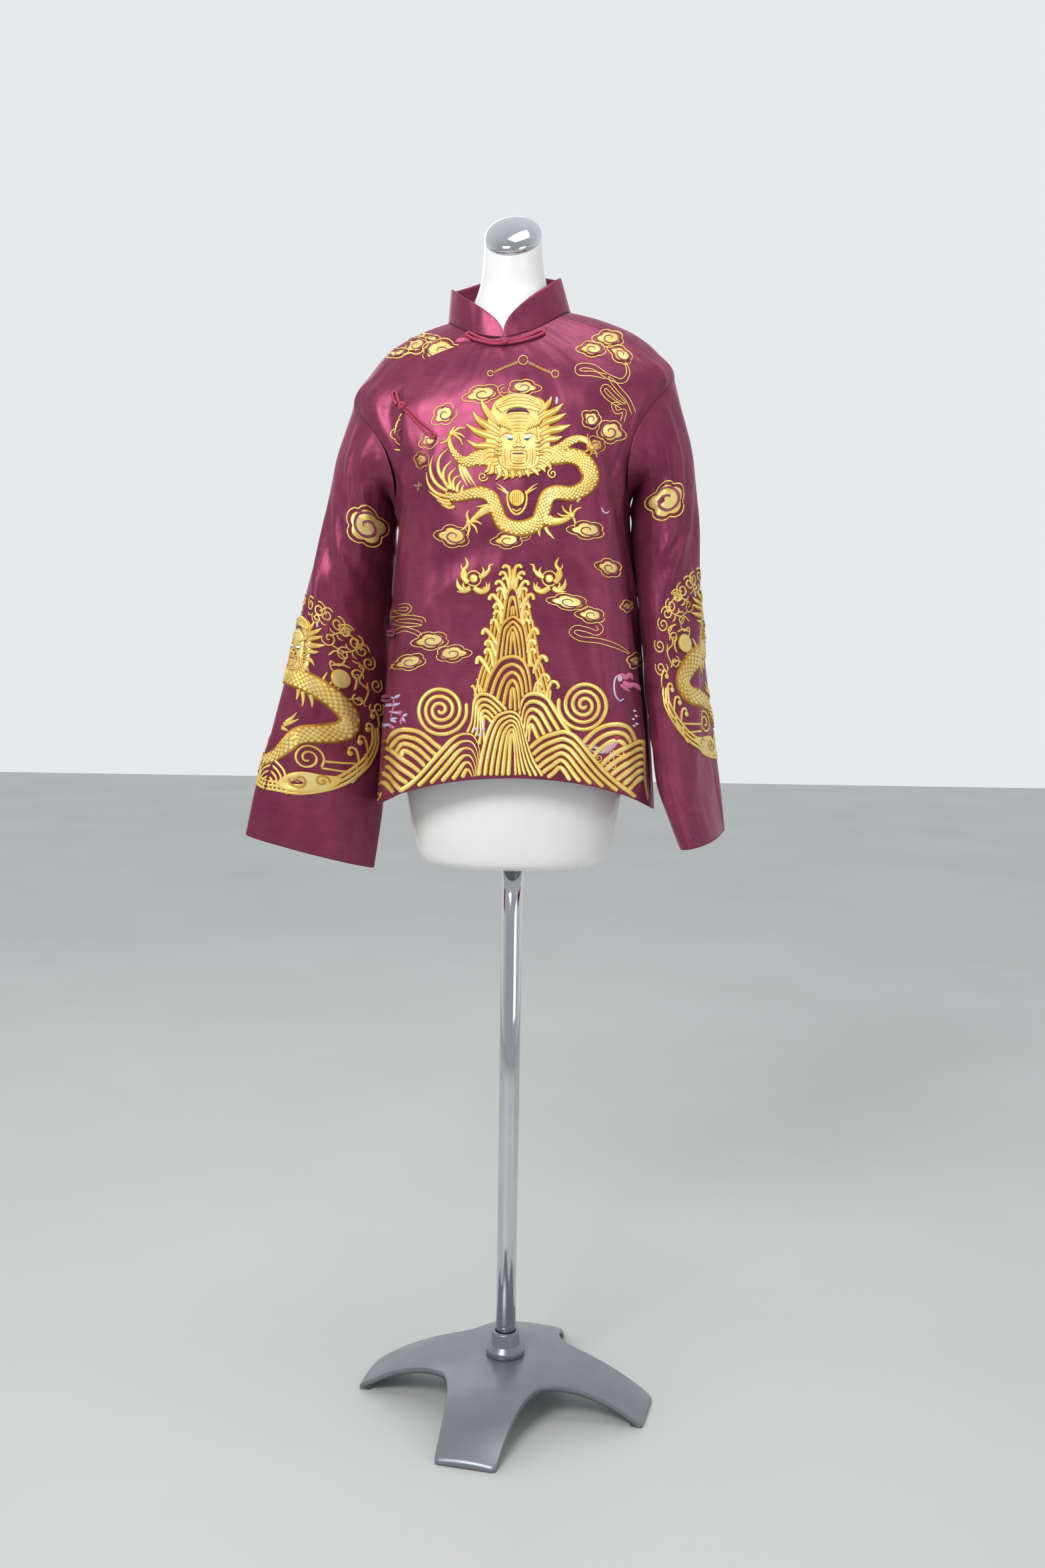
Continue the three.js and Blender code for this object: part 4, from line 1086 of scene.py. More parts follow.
    def curl(self, x, y, way, size, tint=BRIGHT):
        """A drop of spray: a hooked stem that ends in a ball."""
        hook = [(way * -1.5, 1.6), (way * -1.2, 0.3), (way * -0.7, -0.75), (0, -0.9), (way * 0.25, -0.2)]
        path = [(x + size * a, y + size * b) for a, b in hook]
        self.cord(path, [size * 0.3, size * 0.5, size * 0.5, size * 0.4], 1.3, tint=tint, step=1.6)
        self.oval(x, y, size * 0.95, size * 0.95, 1.9, tint=tint, step=1.5)

    def hill(self, outer, inner, count, widest=29.0, height=1.8, tint=BRIGHT):
        """Arches one within another. Each of the two outlines is a left and a right leg."""
        samples = 36

        def even(points):
            line = smooth_path(points, 4.0)
            share = np.linspace(0, 1, len(line))
            return np.stack([np.interp(np.linspace(0, 1, samples), share, line[:, i]) for i in (0, 1)], 1)

        first = np.concatenate([even(outer[0]), even(outer[1])[1:]])
        last = np.concatenate([even(inner[0]), even(inner[1])[1:]])
        run = np.gradient(first, axis=0)
        run /= np.linalg.norm(run, axis=1, keepdims=True)
        apart = np.abs((last - first) @ np.array([[0, 1], [-1, 0]]) * run).sum(1) / max(count - 1, 1)
        widths = np.clip(apart * ARCH_SHARE, THINNEST_ARCH, widest)
        for step in range(count):
            arch = first + (last - first) * step / max(count - 1, 1)
            self.cord(arch[::3], widths[::3], height, tint=tint, step=2.2)
        grown = first + np.array([[0, -1.5]])
        self.cover(grown)

    def lay(self, name, slot="satin"):
        """Lays the stitching on the cloth and makes it a piece."""
        points = np.concatenate(self.points)
        tall = np.concatenate(self.heights)
        where, level, _ = self.ground.find(points)
        base, normals = self.ground.surface(where, level)
        placed = base + normals * tall[:, None]
        marks = {"thread": np.concatenate(self.threads), "tint": np.concatenate(self.tints)}
        return make_piece(name, placed, self.faces, [GILT, SILK], (), marks, self.kinds)


# ---- frogs --------------------------------------------------------------
CORD_RADIUS = 2.1
KNOT_RADIUS = 6.0
FROG_LIFT = 0.35


def unit(vectors):
    return vectors / np.maximum(np.linalg.norm(vectors, axis=-1, keepdims=True), 1e-9)


class Cords:
    """Round cords sewn on the jacket, gathered into one piece."""

    SIDES = 12

    def __init__(self):
        self.points, self.marks, self.faces, self.ends, self.count = [], [], [], [], 0

    def tube(self, line, radius):
        run = unit(np.gradient(line, axis=0))
        around = np.linspace(0, 2 * np.pi, self.SIDES + 1)[:-1]
        aside = np.array([0.3, 0.5, 0.8])
        sections = []
        for centre, along in zip(line, run):
            aside = unit(aside - along * (aside @ along))
            up = np.cross(along, aside)
            sections.append(centre + radius * (np.outer(np.cos(around), aside) + np.outer(np.sin(around),
                                                                                          up)))
        rows = len(line)
        length = np.append(0, np.cumsum(np.linalg.norm(np.diff(line, axis=0), axis=1)))
        marks = np.zeros((rows, self.SIDES, 3))
        marks[..., 0] = around * radius
        marks[..., 1] = length[:, None]
        self.points.append(np.concatenate(sections))
        self.marks.append(marks.reshape(-1, 3))
        self.faces.append(grid_faces(rows, self.SIDES, True, self.count))
        ring = np.arange(self.SIDES)
        self.ends.append(self.count + np.stack([ring[::-1], (rows - 1) * self.SIDES + ring]))
        self.count += rows * self.SIDES

    def ground(self, places, sunk):
        """Points, normals and directions on the cloth along a line of angles and levels."""
        flat = [(angle * DEGREE_WIDTH, float(level_height(level))) for angle, level in places]
        line = smooth_path(flat, 1.0)
        angle = line[:, 0] / DEGREE_WIDTH
        level = np.interp(line[:, 1], LEVEL_STARTS, np.arange(len(LEVEL_STARTS)))
        normals = jacket_normal(angle, level)
        points = jacket_surface(angle, level)
        if sunk:
            points = points - normals * underlap_sink(angle, level)[:, None]
        return points, normals, unit(np.gradient(points, axis=0))

    def loop(self, places, sunk=False, spread=1.05):
        """A bar of two strands; they turn back at its far end."""
        points, normals, run = self.ground(places, sunk)
        aside = np.cross(normals, run)
        centre = points + normals * (CORD_RADIUS + FROG_LIFT)
        reach = CORD_RADIUS * np.interp(np.linspace(0, 1, len(points)), [0, 0.55, 0.85, 1],
                                        [1, spread, 1.5, 1.3])
        strand = aside * reach[:, None]
        turn = np.linspace(np.pi / 2, -np.pi / 2, 9)[1:-1, None]
        bend = centre[-1] + strand[-1] * np.sin(turn) + run[-1] * reach[-1] * np.cos(turn)
        self.tube(np.concatenate([centre + strand, bend, (centre - strand)[::-1]]), CORD_RADIUS)

    def knot(self, angle, level, size=1.0):
        """A button knot: one cord wound three times about itself."""
        points, normals, run = self.ground([(angle - 1, level), (angle + 1, level)], False)
        middle = len(points) // 2
        normal, along = normals[middle], run[middle]
        aside = np.cross(normal, along)
        centre = points[middle] + normal * (KNOT_RADIUS * 0.72 * size + FROG_LIFT)
        t = np.linspace(0, 2 * np.pi, 73)[:, None]
        swing = 1 + 0.45 * np.cos(3 * t)
        wound = along * np.cos(2 * t) * swing + aside * np.sin(2 * t) * swing + normal * 0.5 * np.sin(3 * t)
        self.tube(centre + wound * KNOT_RADIUS * 0.46 * size, CORD_RADIUS * size)

    def sew(self, name, stands_for, finish=None):
        points = np.concatenate(self.points)
        marks = {"thread": np.concatenate(self.marks)}
        faces = [np.concatenate(self.faces), np.concatenate(self.ends)]
        return make_piece(name, points, faces, finish or CORD, stands_for, marks)


neck_frog = Cords()
neck_frog.loop([(2.5, 9.38), (-7, 9.36), (-18, 9.5), (-32, 9.72)])
neck_frog.loop([(-2.5, 9.38), (7, 9.36), (17, 9.4), (29, 9.48)])
neck_frog.knot(0, 9.36)
neck_frog.sew("neck_frog", ["frog_neck_bar_right", "frog_neck_bar_left", "frog_neck_knot"])
chest_frog = Cords()
chest_frog.loop([(-38.5, 6.18), (-40.5, 6.3), (-43.5, 6.5)], sunk=True, spread=1.4)
chest_frog.loop([(-33.5, 6.0), (-31, 5.86), (-28.5, 5.7), (-24, 5.42)])
chest_frog.knot(-35, 6.05)
chest_frog.sew("chest_frog", ["frog_chest_bar_under", "frog_chest_bar_main", "frog_chest_knot"])
# The side frogs take the darker cord: painted shade.
side_frogs = Cords()
for level in (2.3, 1.45):
    for way in (1, -1):
        side_frogs.loop([(-90 + way * angle, level) for angle in (3, 11, 20)])
    side_frogs.knot(-90, level, 0.62)
side_frogs.sew("side_frogs", [f"frog_side_{height}_{part}" for height in ("high", "low")
                              for part in ("bar_front", "bar_back", "knot")], SHADED_SIDE_CORD)

# ---- form and stand -----------------------------------------------------
SEAT_GAP = 1.2
FORM = np.array([
    [764, 764, 764, 112, 78, 76, 0, 0, 0, 0],
    [776, 776, 776, 128, 91, 89, 0, 0, 0, 0],
    [830, 830, 830, 142, 100, 97, 0, 0, 0, 0],
    [905, 905, 905, 149, 102, 99, 0, 0, 0, 0],
    [990, 990, 990, 134, 96, 90, 0, 0, 0, 0],
    [1080, 1080, 1080, 112, 88, 80, 0, -1, 0, 0.01],
    [1170, 1165, 1170, 121, 98, 83, 0, -3, -1, 0.03],
    [1260, 1245, 1260, 136, 113, 89, 0, -6, -2, 0.06],
    [1335, 1305, 1335, 146, 105, 89, 0, -8, -2.5, 0.075],
    [1400, 1352, 1396, 164, 98, 84, 0, -8, -3, 0.085],
])
# Rings of the neck: height of the centre, radius, centre, slope to the back and tilt.
NECK = np.array([
    [1499, 60, -13, -5, 0.32, 0.086],
    [1524, 47, -11, -9, 0.3, 0.086],
    [1548, 40.5, -11, -12, 0.5, 0.09],
    [1590, 37.5, -11.5, -15, 0.78, 0.1],
])
CAP_EDGE = 4
CAP_DOME = 17
POLE_RADIUS = 14
HUB_RADIUS = 27
HUB_HEIGHT = 34
FLANGE_THICK = 7
BASE_REACH = 205
BASE_HEIGHT = 62
BASE_THICK = 8
FOOT_HALF_WIDTH = 42
FOOT_PAD = 13
WAIST_REACH = 100
BASE_TURN = -104
FORM_ANGLES = np.arange(120) * 3.0


def ringed_solid(name, rings, finish, stands_for, closed=False):
    """A solid through rings of points, from its foot up and seen anticlockwise from above."""
    rings = np.asarray(rings, float)
    rows, columns = rings.shape[:2]
    if closed:
        rings = np.concatenate([rings, rings[:1]])
        rows += 1
    faces = [grid_faces(rows, columns, True)]
    around = np.arange(columns)
    if not closed:
        faces.append(np.stack([around[::-1], (rows - 1) * columns + around]))
    return make_piece(name, rings.reshape(-1, 3), faces, finish, [stands_for])


def neck_ring(row, angle):
    height, radius, x, y, rise, tilt = row
    across, back = radius * np.sin(np.radians(angle)), -radius * np.cos(np.radians(angle))
    return np.stack([x + across, y + back, height + rise * back + tilt * across], -1)


def form_seat(level):
    """The form's shoulders, a little below the cloth that lies on them."""
    def smooth(angle, level):
        return jacket_surface(angle, level, fine=False)
    turned = (FORM_ANGLES + 180) % 360 - 180
    edge = opening_angle(level)
    tucked = smoothstep(turned, edge - 22, edge - 8)
    tucked = tucked * (1 - smoothstep(turned, edge + UNDERLAP_WIDTH + 8, edge + UNDERLAP_WIDTH + 22))
    depth = WALL + SEAT_GAP + (OVERLAP_SINK + 0.4) * tucked
    levels = np.full(len(FORM_ANGLES), float(level))
    normals = normal_of(smooth, FORM_ANGLES, np.minimum(levels, 9.98), 0.5, 0.02)
    return smooth(FORM_ANGLES, levels) - normals * depth[:, None]


def form_shell():
    torso = [section_point(row, FORM_ANGLES) for row in FORM]
    shoulders = [form_seat(level) for level in (7.5, 8, 8.5, 9, 9.5, 10)]
    neck = [neck_ring(row, FORM_ANGLES) for row in NECK]
    rings = np.stack(torso + shoulders + neck)
    last = len(rings) - 1
    places = np.concatenate([np.linspace(0, 10, 61), np.arange(11, 17), np.linspace(16, last, 25)[1:]])
    shell = along_rows(rings, places)
    foot = shell[0].copy()
    foot[:, :2] *= 0.94
    ringed_solid("form_shell", [foot, *shell], GLOSS, "form_torso")


def neck_dome():
    top = NECK[-1]
    normal = unit(np.array([-top[5], -top[4], 1.0]))
    centre = np.array([top[2], top[3], top[0]])
    edge = neck_ring(top, FORM_ANGLES) - centre
    rings = [centre + edge * size + normal * (SEAM_GAP + rise) for size, rise in
             [(0.97, 0), (1, 0.6), (1, CAP_EDGE)] + [(math.cos(a), CAP_EDGE + CAP_DOME * math.sin(a))
                                                     for a in np.linspace(0.04, 1.54, 24)]]
    ringed_solid("neck_dome", rings, CHROME, "neck_cap")


def base_outline():
    radius = 7.0
    waist = WAIST_REACH / math.sqrt(2)
    straight = [(BASE_REACH, y) for y in np.linspace(0, FOOT_HALF_WIDTH - radius, 8)]
    corner = [(BASE_REACH - radius + radius * math.cos(a), FOOT_HALF_WIDTH - radius + radius * math.sin(a))
              for a in np.linspace(0.15, math.pi / 2, 7)]
    start, pull, end = (BASE_REACH, FOOT_HALF_WIDTH), (WAIST_REACH * 0.98, FOOT_HALF_WIDTH * 1.12), (waist,
                                                                                                     waist)
    bend = [tuple((1 - t) ** 2 * s + 2 * t * (1 - t) * p + t * t * e for s, p, e in zip(start, pull, end))
            for t in np.linspace(0.07, 1, 26)]
    eighth = np.array(straight + corner + bend)
    quarter = np.concatenate([eighth, eighth[-2:0:-1, ::-1]])
    turns = [math.radians(90 * leg + BASE_TURN) for leg in range(4)]
    return np.concatenate([quarter @ np.array([[math.cos(t), math.sin(t)], [-math.sin(t), math.cos(t)]])
                           for t in turns])


def base_top(reach):
    run = np.maximum(reach - HUB_RADIUS - 6, 0) / (BASE_REACH - HUB_RADIUS - 6)
    return BASE_THICK + (BASE_HEIGHT - BASE_THICK) * (1 - run ** 2.3)


def four_legged_base():
    outline = base_outline()
    reach = np.linalg.norm(outline, axis=1)
    pad = 1 - FOOT_PAD / BASE_REACH
    on_foot = reach > BASE_REACH - 1

    def ring(share, height):
        return np.column_stack([outline * share, height])
    shares = np.concatenate([np.linspace(0.12, pad, 34), [1]])
    under = [ring(s, np.where(on_foot & (s >= pad), 0, np.maximum(base_top(reach * s) - BASE_THICK, 0)))
             for s in shares]
    rim = base_top(reach)
    edge = [ring(1, rim - 2.2), ring(0.997, rim - 0.9), ring(0.99, base_top(reach * 0.99) - 0.15)]
    over = [ring(s, base_top(reach * s)) for s in np.linspace(0.98, 0.12, 36)]
    ringed_solid("four_legged_base", [*under, *edge, *over], GREY, "stand_base")


def turned_part(name, profile, height, finish, stands_for, closed=False, soften=0.7):
    """A round part turned from pairs of radius and height, its corners a little softened."""
    outline = np.array(profile, float)
    points = [outline[0]] if not closed else []
    count = len(outline)
    for i in range(count) if closed else range(1, count - 1):
        corner = outline[i]
        for other in (outline[i - 1], outline[(i + 1) % count]):
            away = np.linalg.norm(other - corner)
            points.append(corner + (other - corner) / away * min(soften, away * 0.4))
    if not closed:
        points.append(outline[-1])
    a = np.linspace(0, 2 * np.pi, 97)[:-1]
    rings = [np.stack([r * np.cos(a), r * np.sin(a), np.full(len(a), height + z)], -1) for r, z in points]
    ringed_solid(name, rings, finish, stands_for, closed)


form_shell()
neck_dome()
four_legged_base()
pole_foot = BASE_HEIGHT + SEAM_GAP
form_foot = FORM[0, SIDE]
bore = POLE_RADIUS + SEAM_GAP
turned_part("stand_tube", [(12, 0), (14, 0), (14, form_foot - FLANGE_THICK - 2 * SEAM_GAP - pole_foot),
                           (12, form_foot - FLANGE_THICK - 2 * SEAM_GAP - pole_foot)],
            pole_foot, CHROME, "stand_pole", soften=0.3)
turned_part("stand_collar", [(bore, 0), (HUB_RADIUS, 0), (HUB_RADIUS, 8), (HUB_RADIUS - 7, 14),
                             (HUB_RADIUS - 7, HUB_HEIGHT - 2), (HUB_RADIUS - 9, HUB_HEIGHT),
                             (bore, HUB_HEIGHT)],
            pole_foot, GREY, "stand_hub", closed=True)
turned_part("stand_plate", [(18, 0), (22, 0), (24, 3), (46, 4), (46, 7), (40, 7)],
            form_foot - FLANGE_THICK - SEAM_GAP, GREY, "stand_flange")

# ---- what is embroidered ------------------------------------------------
# A motif is drawn with y downwards. Each frame is its corner in the view, and its scale.
LOWER = ((560, 840), 1 / 3.4)
UPPER = ((560, 480), 1 / 3.4)


# Each hill of the hem, foremost first: its outer arch and its inner arch, each as a left and
# a right leg, and how many arches there are.
HEM_HILLS = [
    ([(530, 1200), (535, 1135), (543, 1073), (556, 998), (572, 932), (593, 865), (632, 798), (697, 770)],
     [(697, 770), (743, 795), (766, 862), (788, 945), (820, 1030), (862, 1098), (910, 1190)],
     [(688, 1200), (690, 1100), (696, 1000), (700, 915), (708, 878)],
     [(708, 878), (717, 915), (723, 1000), (727, 1100), (732, 1200)], 6),
    ([(40, 1262), (93, 1215), (202, 1132), (293, 1040), (352, 973), (402, 918), (440, 893), (477, 885)],
     [(477, 885), (512, 898), (535, 940), (545, 995), (540, 1080), (522, 1180)],
     [(385, 1200), (418, 1165), (450, 1118), (470, 1078), (481, 1066)],
     [(481, 1066), (492, 1078), (505, 1105), (510, 1140), (512, 1180)], 6),
    ([(800, 965), (818, 943), (868, 907), (918, 888), (968, 875)],
     [(968, 875), (1010, 888), (1052, 927), (1102, 990), (1152, 1048), (1210, 1107), (1268, 1157),
      (1350, 1218)],
     [(872, 1128), (893, 1107), (918, 1088), (940, 1064), (952, 1057)],
     [(952, 1057), (962, 1062), (980, 1085), (1003, 1122), (1040, 1170)], 6),
    ([(8, 1290), (14, 1200), (22, 1080), (30, 985), (35, 948)],
     [(35, 948), (70, 962), (115, 986), (185, 1040), (245, 1088), (310, 1150)],
     [(26, 1300), (34, 1240), (40, 1180), (44, 1142), (46, 1128)],
     [(46, 1128), (62, 1142), (86, 1168), (112, 1196), (140, 1226)], 5),
    ([(1150, 1060), (1190, 1022), (1236, 985), (1290, 954), (1335, 936), (1366, 920)],
     [(1366, 920), (1376, 960), (1384, 1040), (1392, 1120), (1405, 1220)],
     [(1280, 1190), (1310, 1160), (1342, 1130), (1364, 1112), (1376, 1104)],
     [(1376, 1104), (1384, 1130), (1390, 1160), (1396, 1190), (1402, 1230)], 6),
    ([(440, 930), (477, 884), (500, 832), (508, 778), (516, 728), (533, 692), (560, 682)],
     [(560, 682), (595, 690), (630, 716), (665, 750), (700, 790)],
     [(570, 960), (566, 900), (562, 850), (562, 815), (567, 795)],
     [(567, 795), (580, 800), (597, 818), (610, 840), (620, 870)], 5),
    ([(735, 850), (745, 800), (752, 748), (768, 706), (790, 688), (818, 681)],
     [(818, 681), (862, 690), (896, 716), (922, 758), (955, 812), (990, 865), (1020, 900)],
     [(795, 930), (797, 890), (799, 860), (802, 845), (806, 838)],
     [(806, 838), (814, 848), (824, 868), (838, 900), (850, 935)], 5),
    ([(30, 975), (52, 948), (86, 905), (125, 873), (164, 864)],
     [(164, 864), (227, 876), (277, 905), (318, 938), (352, 965), (390, 1000)],
     [(120, 1030), (147, 1008), (152, 990), (156, 978), (162, 972)],
     [(162, 972), (182, 980), (208, 1000), (243, 1030), (280, 1070)], 4),
    ([(1050, 950), (1077, 923), (1116, 884), (1160, 857), (1208, 841), (1250, 838)],
     [(1250, 838), (1292, 852), (1320, 882), (1337, 920), (1350, 960)],
     [(1120, 1010), (1140, 982), (1172, 955), (1205, 932), (1235, 920)],
     [(1235, 920), (1262, 928), (1282, 952), (1292, 985), (1298, 1020)], 3),
]
ROCK_HILLS = [
    ([(556, 760), (566, 690), (585, 622), (612, 562), (652, 510), (708, 490)],
     [(708, 490), (760, 510), (788, 560), (800, 620), (806, 690), (812, 760)],
     [(700, 780), (701, 730), (703, 690), (706, 665), (712, 652)],
     [(712, 652), (718, 665), (722, 690), (724, 730), (726, 780)], 5),
    ([(620, 560), (628, 500), (640, 420), (652, 350), (664, 322), (712, 286)],
     [(712, 286), (758, 320), (772, 350), (784, 420), (792, 500), (798, 560)],
     [(696, 560), (698, 500), (702, 440), (708, 390), (713, 360)],
     [(713, 360), (718, 390), (724, 440), (730, 500), (734, 560)], 4),
    ([(655, 370), (664, 300), (676, 220), (688, 165), (699, 146), (711, 140)],
     [(711, 140), (723, 146), (732, 165), (744, 220), (754, 300), (764, 370)],
     [(700, 370), (702, 320), (705, 280), (709, 250), (712, 236)],
     [(712, 236), (716, 250), (719, 280), (722, 320), (725, 370)], 3),
]
# Hooks of spray beside the rock: top and tip of each, the large ones thicker.
SPRAY_LEFT = [
    (682, 30, 662, 46), (664, 62, 648, 82), (680, 92, 662, 106), (646, 108, 625, 130),
    (650, 144, 634, 164), (612, 178, 592, 208), (634, 224, 615, 250), (636, 262, 616, 284),
    (616, 304, 602, 332), (574, 354, 558, 384), (590, 412, 573, 440), (586, 455, 572, 482),
    (540, 496, 529, 534),
]
SPRAY_RIGHT = [
    (738, 28, 757, 44), (756, 62, 772, 80), (742, 90, 757, 104), (774, 108, 794, 132),
    (766, 144, 784, 166), (802, 174, 819, 206), (782, 222, 798, 250), (778, 262, 793, 284),
    (782, 304, 798, 332), (824, 350, 842, 384), (810, 410, 830, 436), (812, 455, 829, 480),
    (862, 490, 888, 522),
]
ROCK_MIDDLE = 710
ROCK_SIDE = [(20, 700), (140, 690), (300, 662), (325, 652), (500, 622), (560, 600), (700, 562)]


def hem_waves(work):
    """Standing waves at the hem, from the foremost back."""
    work.draw_from(*LOWER)
    for left, right, inner_left, inner_right, count in HEM_HILLS:
        work.hill((left, right), (inner_left, inner_right), count)


def mountain(work):
    """The pillar of rock that rises from the waves, with spray along both sides."""
    work.draw_from(*LOWER)
    for left, right, inner_left, inner_right, count in ROCK_HILLS:
        work.hill((left, right), (inner_left, inner_right), count, 26, tint=WARM)
    level, edge = np.array(ROCK_SIDE).T
    for inset in (6, 26, 46):
        side = [(x - inset, y) for y, x in ROCK_SIDE[1:]]
        work.cord(side, 20, 1.2, tint=WARM)
        work.cord([(2 * ROCK_MIDDLE - x, y) for x, y in side], 20, 1.2, tint=WARM)
    for way, hooks in ((-1, SPRAY_LEFT), (1, SPRAY_RIGHT)):
        for x, y, tip_x, tip_y in hooks:
            thick = 28 if abs(x - ROCK_MIDDLE) > 97 else 24
            foot = ROCK_MIDDLE + way * (700 - np.interp(y + 92, level, edge))
            path = [(foot, y + 92), (foot * 0.45 + x * 0.55 - way * 8, y + 44), (x - way * 12, y + 12),
                    (x, y + 2),
                    ((x + tip_x) / 2 + way * 4, (y + tip_y) / 2 - 5), (tip_x, tip_y)]
            work.cord(path, [thick * 0.5, thick, thick, thick, thick, thick * 0.9], 1.9, step=1.8, blunt=0.7)
    work.cord([(711, 138), (710, 100), (711, 60), (712, 40)], [30, 26, 18, 8], 1.6)
    for path in ([(548, 700), (540, 660), (534, 620), (526, 604)],
                 [(528, 700), (518, 660), (508, 640), (500, 652)],
                 [(560, 706), (556, 672), (548, 640)]):
        work.cord(path, [14, 18, 18, 12], 1.4, step=1.6)
    for x, y, size in ((880, 604, 27), (926, 640, 27), (848, 640, 20)):
        hook = [(x - size * 1.4, y + 110), (x - size * 1.35, y + 40), (x - size * 0.7, y - size * 0.5),
                (x + size * 0.2, y - size * 0.6), (x + size * 0.7, y + size * 0.2),
                (x + size * 0.2, y + size * 0.6)]
        work.cord(hook, [16, 22, 22, 22, 22, 16], 1.6, step=1.6)
    for x in (868, 888, 906):
        work.cord([(x, 660), (x - 4, 700), (x - 10, 760)], 14, 1.3)


def sea_spirals(work):
    work.draw_from(*LOWER)
    work.spiral(347, 765, 134, 3.6, 25, start=200, way=-1, inner=4, height=2.0)
    work.spiral(1075, 740, 134, 3.6, 25, start=-20, way=1, inner=4, height=2.0)


def flaming_pearl(work, way):
    """A pearl in a ring, in a wreath of wide ragged flames."""

    def turned(*points):
        return [(707 + way * (x - 707), y) for x, y in points]

    x, y = turned((515, 95))[0]
    work.oval(x, y, 46, 48, 1.9)
    a = np.radians(np.arange(0, 360, 36))
    work.cord(np.stack([x + 37 * np.cos(a), y + 38 * np.sin(a)], 1), 10, 1.3, closed=True, step=1.5)
    flames = [
        ([(488, 118), (462, 84), (462, 56), (482, 24), (468, -15)], [34, 36, 26, 20, 3]),
        ([(478, 96), (470, 60), (452, 40), (448, 18)], [20, 22, 14, 3]),
        ([(542, 92), (572, 74), (592, 50), (596, 28), (618, 20)], [26, 30, 22, 16, 3]),
        ([(552, 84), (566, 60), (556, 34)], [22, 18, 3]),
        ([(512, 140), (548, 160), (584, 150), (596, 112)], [30, 38, 28, 3]),
        ([(560, 150), (580, 136), (576, 112)], [20, 16, 3]),
        ([(500, 142), (466, 156), (438, 132), (432, 94)], [30, 36, 26, 3]),
        ([(470, 150), (462, 128), (466, 112)], [20, 16, 3]),
        ([(476, 156), (450, 164), (428, 160)], [18, 14, 3]),
    ]
    for path, widths in flames:
        work.cord(turned(*path), widths, 1.7, blunt=0.9, step=1.7)


def lower_clouds(work):
    work.draw_from(*LOWER)
    work.cloud(300, 412, 176, 96, -4)
    work.cloud(402, 478, 168, 92, -6, flip=-1)
    work.cloud(192, 520, 160, 84, -12)
    work.ribbon([(100, 378), (160, 352), (225, 372), (240, 392)], 20)
    work.ribbon([(252, 332), (170, 330), (120, 322), (116, 300), (180, 292), (250, 300), (262, 322)], 18)
    work.ribbon([(112, 262), (165, 268), (188, 250), (170, 232), (130, 238)], 18)
    work.cloud(1000, 215, 196, 84, 8)
    work.cloud(1112, 282, 142, 84, 10)
    work.ribbon([(1306, 478), (1240, 440), (1150, 412), (1060, 402), (1012, 372), (1035, 346), (1090, 356),
                 (1140, 372), (1160, 350), (1140, 328)], 24)
    work.cloud(1335, 512, 66, 92, 20)
    work.cloud(1205, 42, 132, 96, 18)
    work.cloud(1292, 235, 60, 64, 0)
    flaming_pearl(work, 1)
    flaming_pearl(work, -1)


def petals(work, x, y, leaves, size, tint):
    for angle in leaves:
        a = math.radians(angle)
        tip = (x + size * math.cos(a), y + size * math.sin(a))
        work.cord([(x, y), ((x + tip[0]) / 2, (y + tip[1]) / 2), tip], [size * 0.2, size * 0.48, size * 0.2],
                  1.2, tint, silk=True, step=1.2, blunt=0.6)


